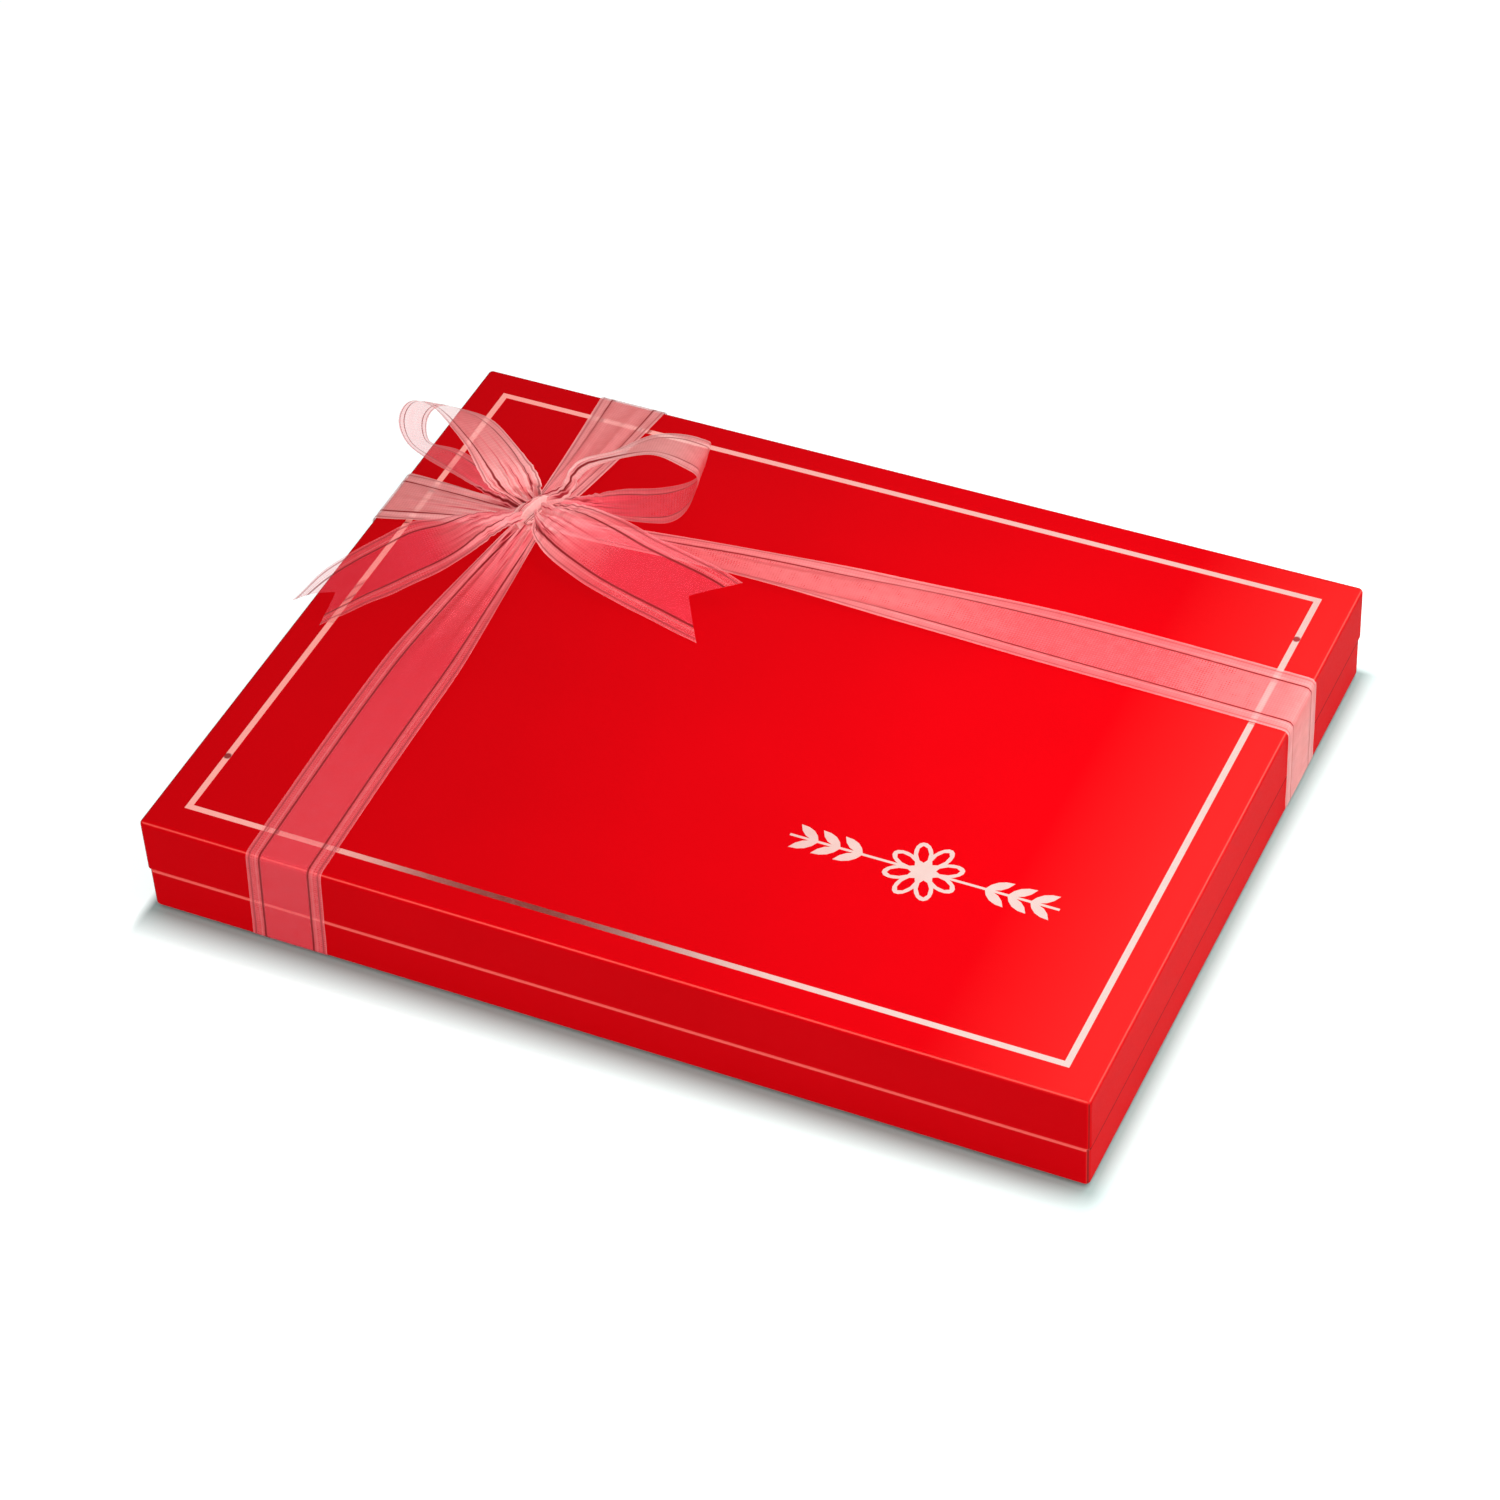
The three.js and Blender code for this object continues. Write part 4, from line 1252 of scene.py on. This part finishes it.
    def model(self, mould: Mould, finishes: dict[Chocolate, bpy.types.Material]) -> bpy.types.Object:
        """Makes one praline of a mould, with its piped thread.

        Args:
            mould: The mould.
            finishes: The material of each chocolate.

        Returns:
            The praline, standing at the origin.
        """
        if mould is Mould.SQUARE:
            piece = self.block(mould, corner=6.0, taper=1.6, crown=1.4)
            path = self.zigzag(length=20.0, width=20.0, turns=6)
        elif mould is Mould.BAR:
            piece = self.block(mould, corner=6.0, taper=1.2, crown=1.4)
            path = self.zigzag(length=26.0, width=12.5, turns=8)
        else:
            piece = self.dome()
            turn = np.linspace(0, 4 * math.pi, 90)
            out = 6.6 + 0.42 * turn
            rise = np.interp(out, (5.1, 8.5, 11.9, 14.7), (17.5, 17.1, 15.6, 13.0)) + 0.25
            path = np.column_stack([out * np.cos(turn), out * np.sin(turn), rise])
        body, trim = mould.value[2:]
        piece.data.materials.append(finishes[body])
        thread = self.thread(path)
        thread.data.materials.append(finishes[trim])
        return join([piece, thread])

    def build(self) -> None:
        """Puts a praline in every cell."""
        finishes = {kind: kind.make() for kind in Chocolate}
        models = [self.model(mould, finishes) for mould in Mould]
        for row in range(self.rows):
            for column in range(self.columns):
                kind = (row + column) % len(models)
                number = f"{row * self.columns + column + 1:02d}"
                mesh = models[kind].data.copy()
                x = ((column + 0.5) / self.columns - 0.5) * self.length
                y = ((row + 0.5) / self.rows - 0.5) * self.width
                points = coordinates(mesh) + np.array([x, y, self.foot]) * MM
                mesh.vertices.foreach_set("co", points.ravel())
                piece = bpy.data.objects.new(f"praline_{number}", mesh)
                bpy.context.scene.collection.objects.link(piece)
                settle(piece, "pralines", [f"chocolate_{number}"])
        for model in models:
            bpy.data.objects.remove(model)


class BoxShells:
    """The rigid box: covering papers, boards, linings, neck, card grid and foil."""

    def build(self) -> None:
        """Dresses every rigid solid that keeps its shape."""
        half_length, half_width = LID_LENGTH / 2, LID_WIDTH / 2
        lid = SatinPaper("red_paper_lid", half_length, half_width, LID_LOW, LID_HIGH, right_highlight=1.0)
        # The base's pale fold colour is the painted highlight along its front edges, at the seam.
        base = SatinPaper(
            "red_paper_base", half_length - LID_OVERHANG, half_width - LID_OVERHANG, BASE_LOW, BASE_HIGH,
            fold="#FF7068", fold_share=0.8, fold_mm=1.0,
        )
        greyboard = FibreBoard("greyboard", "#A39B8F", "#6F675C", fleck_share=0.7)
        lining = FibreBoard("lining_paper", "#F4EFE6", "#DDD4C4", fleck_share=0.35, fleck_mm=0.8)
        board = FibreBoard("white_board", "#F7F3EC", "#E2DACB", fleck_share=0.3, fleck_mm=1.6, roughness=0.7)
        gold = MetalSkin("gold_card", "#D2A95B", "#B98B3C", roughness=0.36, grain_mm=2.0)
        nicks = ((-139.0, -80.5, 35.4), (138.8, 84.8, 35.4))
        foil = MetalSkin("hot_foil", "#FFE6DE", "#FBD8CF", roughness=0.09, grain_mm=3.0, nicks=nicks)
        strips = [f"divider_long_{i}" for i in range(1, 5)] + [f"divider_short_{i}" for i in range(1, 6)]
        for finish, nodes in (
            (lid, ["lid_wrap"]), (base, ["base_wrap"]), (greyboard, ["lid_board", "base_board"]),
            (lining, ["lid_liner", "base_liner"]), (board, ["neck"]), (gold, strips),
            (foil, ["foil_border", "foil_ornament"]),
        ):
            material = finish.make()
            for node in nodes:
                dress(node, material)


@dataclass
class Studio:
    """The plain pale floor, the soft lights and the camera of the photograph. Metres."""

    eye: tuple[float, float, float] = (0.44961, -0.89486, 0.94695)
    angles: tuple[float, float, float] = (47.0315, 2.6817, 24.448)
    lens_mm: float = 108.37
    floor_size: float = 12.0
    fill: float = 0.56
    lift: float = 0.75
    card: str = "#7A2019"

    def camera(self) -> None:
        """Adds the camera and makes it the scene's."""
        data = bpy.data.cameras.new("camera")
        data.lens = self.lens_mm
        data.sensor_width = 36.0
        camera = bpy.data.objects.new("camera", data)
        camera.location = self.eye
        camera.rotation_euler = [math.radians(angle) for angle in self.angles]
        bpy.context.scene.collection.objects.link(camera)
        bpy.context.scene.camera = camera

    def floor(self) -> None:
        """Adds the floor, which shows white to the eye and keeps the box's shadow.

        Its white glow is held back near the box, which leaves a band of painted shadow round its foot.
        """
        bpy.ops.mesh.primitive_plane_add(size=self.floor_size, location=(0.0, 0.0, -0.0003))
        floor = bpy.context.active_object
        floor.name = "floor"
        material, add, _ = start_material("floor")
        material.node_tree.nodes.clear()
        path = add("LightPath")
        mirrored = add("Math", (path["Is Glossy Ray"], 0.3), operation="MULTIPLY")[0]
        eyes = (path["Is Camera Ray"], path["Is Transmission Ray"])
        seen = add("Math", eyes, operation="MAXIMUM")[0]
        clear = add("Math", (seen, mirrored), operation="MAXIMUM")[0]
        place = add("TexCoord")["Object"]
        axes = add("SeparateXYZ", (place,))
        # Distance out from the box's foot, stretched fourfold at the left and back and by half again at the
        # right, so that the band of painted shadow, where the glow is held back, is widest at the front.
        outside = {}
        for axis, size, rates in (("X", LID_LENGTH, (-4.0, 1.5)), ("Y", LID_WIDTH, (4.0, -1.0))):
            outside[axis] = 0.0
            for rate in rates:
                line = (axes[axis], rate, -size / 2 * MM * abs(rate))
                past = add("Math", line, operation="MULTIPLY_ADD")[0]
                outside[axis] = add("Math", (outside[axis], past), operation="MAXIMUM")[0]
        spot = add("CombineXYZ", outside)[0]
        reach = add("VectorMath", (spot,), operation="LENGTH")["Value"]
        rise = add("MapRange", {"Value": reach, "From Min": 0.001, "From Max": 0.014, "To Max": self.lift})[0]
        lift = add("Math", (clear, rise), operation="MULTIPLY")[0]
        paint = add("BsdfDiffuse", {"Color": linear("#A5BAB7")})[0]
        glow = add("Emission", {"Strength": lift})[0]
        both = add("AddShader", (paint, glow))[0]
        add("OutputMaterial", (both,))
        floor.data.materials.append(material)

    def world(self) -> None:
        """Surrounds the box with a white studio that glossy faces see pinker to the left and low down.

        A warm dark card hangs at the back on the left, where only the front of the foil line mirrors it.
        """
        world = bpy.data.worlds.new("studio")
        bpy.context.scene.world = world
        world.use_nodes = True
        world.node_tree.nodes.clear()
        add = partial(add_node, world.node_tree)
        facing = add("TexCoord")["Generated"]
        axes = add("SeparateXYZ", (facing,))
        white = (1.0, 1.0, 1.0, 1.0)
        wall = white
        for axis, tint, from_tint, to_white in (("X", "#FFCCC8", -0.41, -0.28), ("Z", "#FFE0DE", 0.645, 0.69)):
            share = add("MapRange", {"Value": axes[axis], "From Min": from_tint, "From Max": to_white})[0]
            toned = add("Mix", {0: share, 6: linear(tint), 7: white}, data_type="RGBA")[2]
            wall = add("Mix", {0: 1.0, 6: wall, 7: toned}, data_type="RGBA", blend_type="MULTIPLY")[2]
        off_card = 0.0
        for axis, from_card, to_clear in (("X", -0.392, -0.398), ("X", -0.36, -0.315), ("Z", 0.684, 0.672)):
            past = add(
                "MapRange", {"Value": axes[axis], "From Min": from_card, "From Max": to_clear},
                interpolation_type="SMOOTHSTEP",
            )[0]
            off_card = add("Math", (off_card, past), operation="MAXIMUM")[0]
        path = add("LightPath")
        eyes = (path["Is Camera Ray"], path["Is Transmission Ray"])
        seen = add("Math", eyes, operation="MAXIMUM")[0]
        plain = add("MapRange", {"Value": seen, "To Min": self.fill, "To Max": 1.0})[0]
        strength = add("Math", (plain, path["Is Glossy Ray"]), operation="MAXIMUM")[0]
        mirrored = add("Mix", {0: off_card, 6: linear(self.card), 7: wall}, data_type="RGBA")[2]
        colour = add("Mix", {0: path["Is Glossy Ray"], 6: white, 7: mirrored}, data_type="RGBA")[2]
        glow = add("Background", {"Color": colour, "Strength": strength})[0]
        add("OutputWorld", (glow,))

    def lamp(
        self, name: str, place: tuple[float, float, float], size: float, power: float,
        aim: tuple[float, float, float] = (0.0, 0.0, 0.0), spread: float = 180.0,
    ) -> None:
        """Hangs a square soft light.

        Args:
            name: The lamp's name.
            place: Where it hangs.
            size: Its side.
            power: Its power in watts.
            aim: The point that it faces.
            spread: How wide its beam opens, in degrees.
        """
        data = bpy.data.lights.new(name, "AREA")
        data.shape = "SQUARE"
        data.size = size
        data.energy = power
        data.spread = math.radians(spread)
        lamp = bpy.data.objects.new(name, data)
        lamp.location = place
        lamp.rotation_euler = (Vector(aim) - Vector(place)).to_track_quat("-Z", "Y").to_euler()
        bpy.context.scene.collection.objects.link(lamp)

    def build(self) -> None:
        """Sets the stage."""
        bpy.context.scene.view_settings.view_transform = "Standard"
        self.camera()
        self.floor()
        self.world()
        self.lamp("right", (0.45, -0.1, 0.5), size=0.3, power=1.22)
        self.lamp("over", (0.17, 0.02, 0.5), size=0.2, power=0.29, aim=(0.14, 0.0, 0.0), spread=70.0)
        self.lamp("top", (0.1, 0.35, 1.2), size=0.3, power=1.3)
        self.lamp("front", (0.0, -0.9, 0.12), size=0.6, power=4.9)
        self.lamp("side", (0.95, 0.0, 0.1), size=0.4, power=4.1)


def main() -> None:
    """Builds the stage and every piece."""
    logging.basicConfig(level=logging.INFO, format="%(name)s: %(message)s")
    Studio().build()
    BoxShells().build()
    Ribbon().build()
    card = FibreBoard("cushion_paper", "#F6F0E6", "#E8DECF", fleck_share=0.3, fleck_mm=2.2, roughness=0.6)
    paper = card.make()
    Cushion("quilted_cushion", "top_pad", "cushion", thickness=7.0, dent=1.6, pitch=24.0).build(paper)
    Cushion("quilted_floor_pad", "bottom_pad", "insert", thickness=3.0, dent=0.5, pitch=16.0).build(paper)
    Pralines().build()


if __name__ == "__main__":
    main()
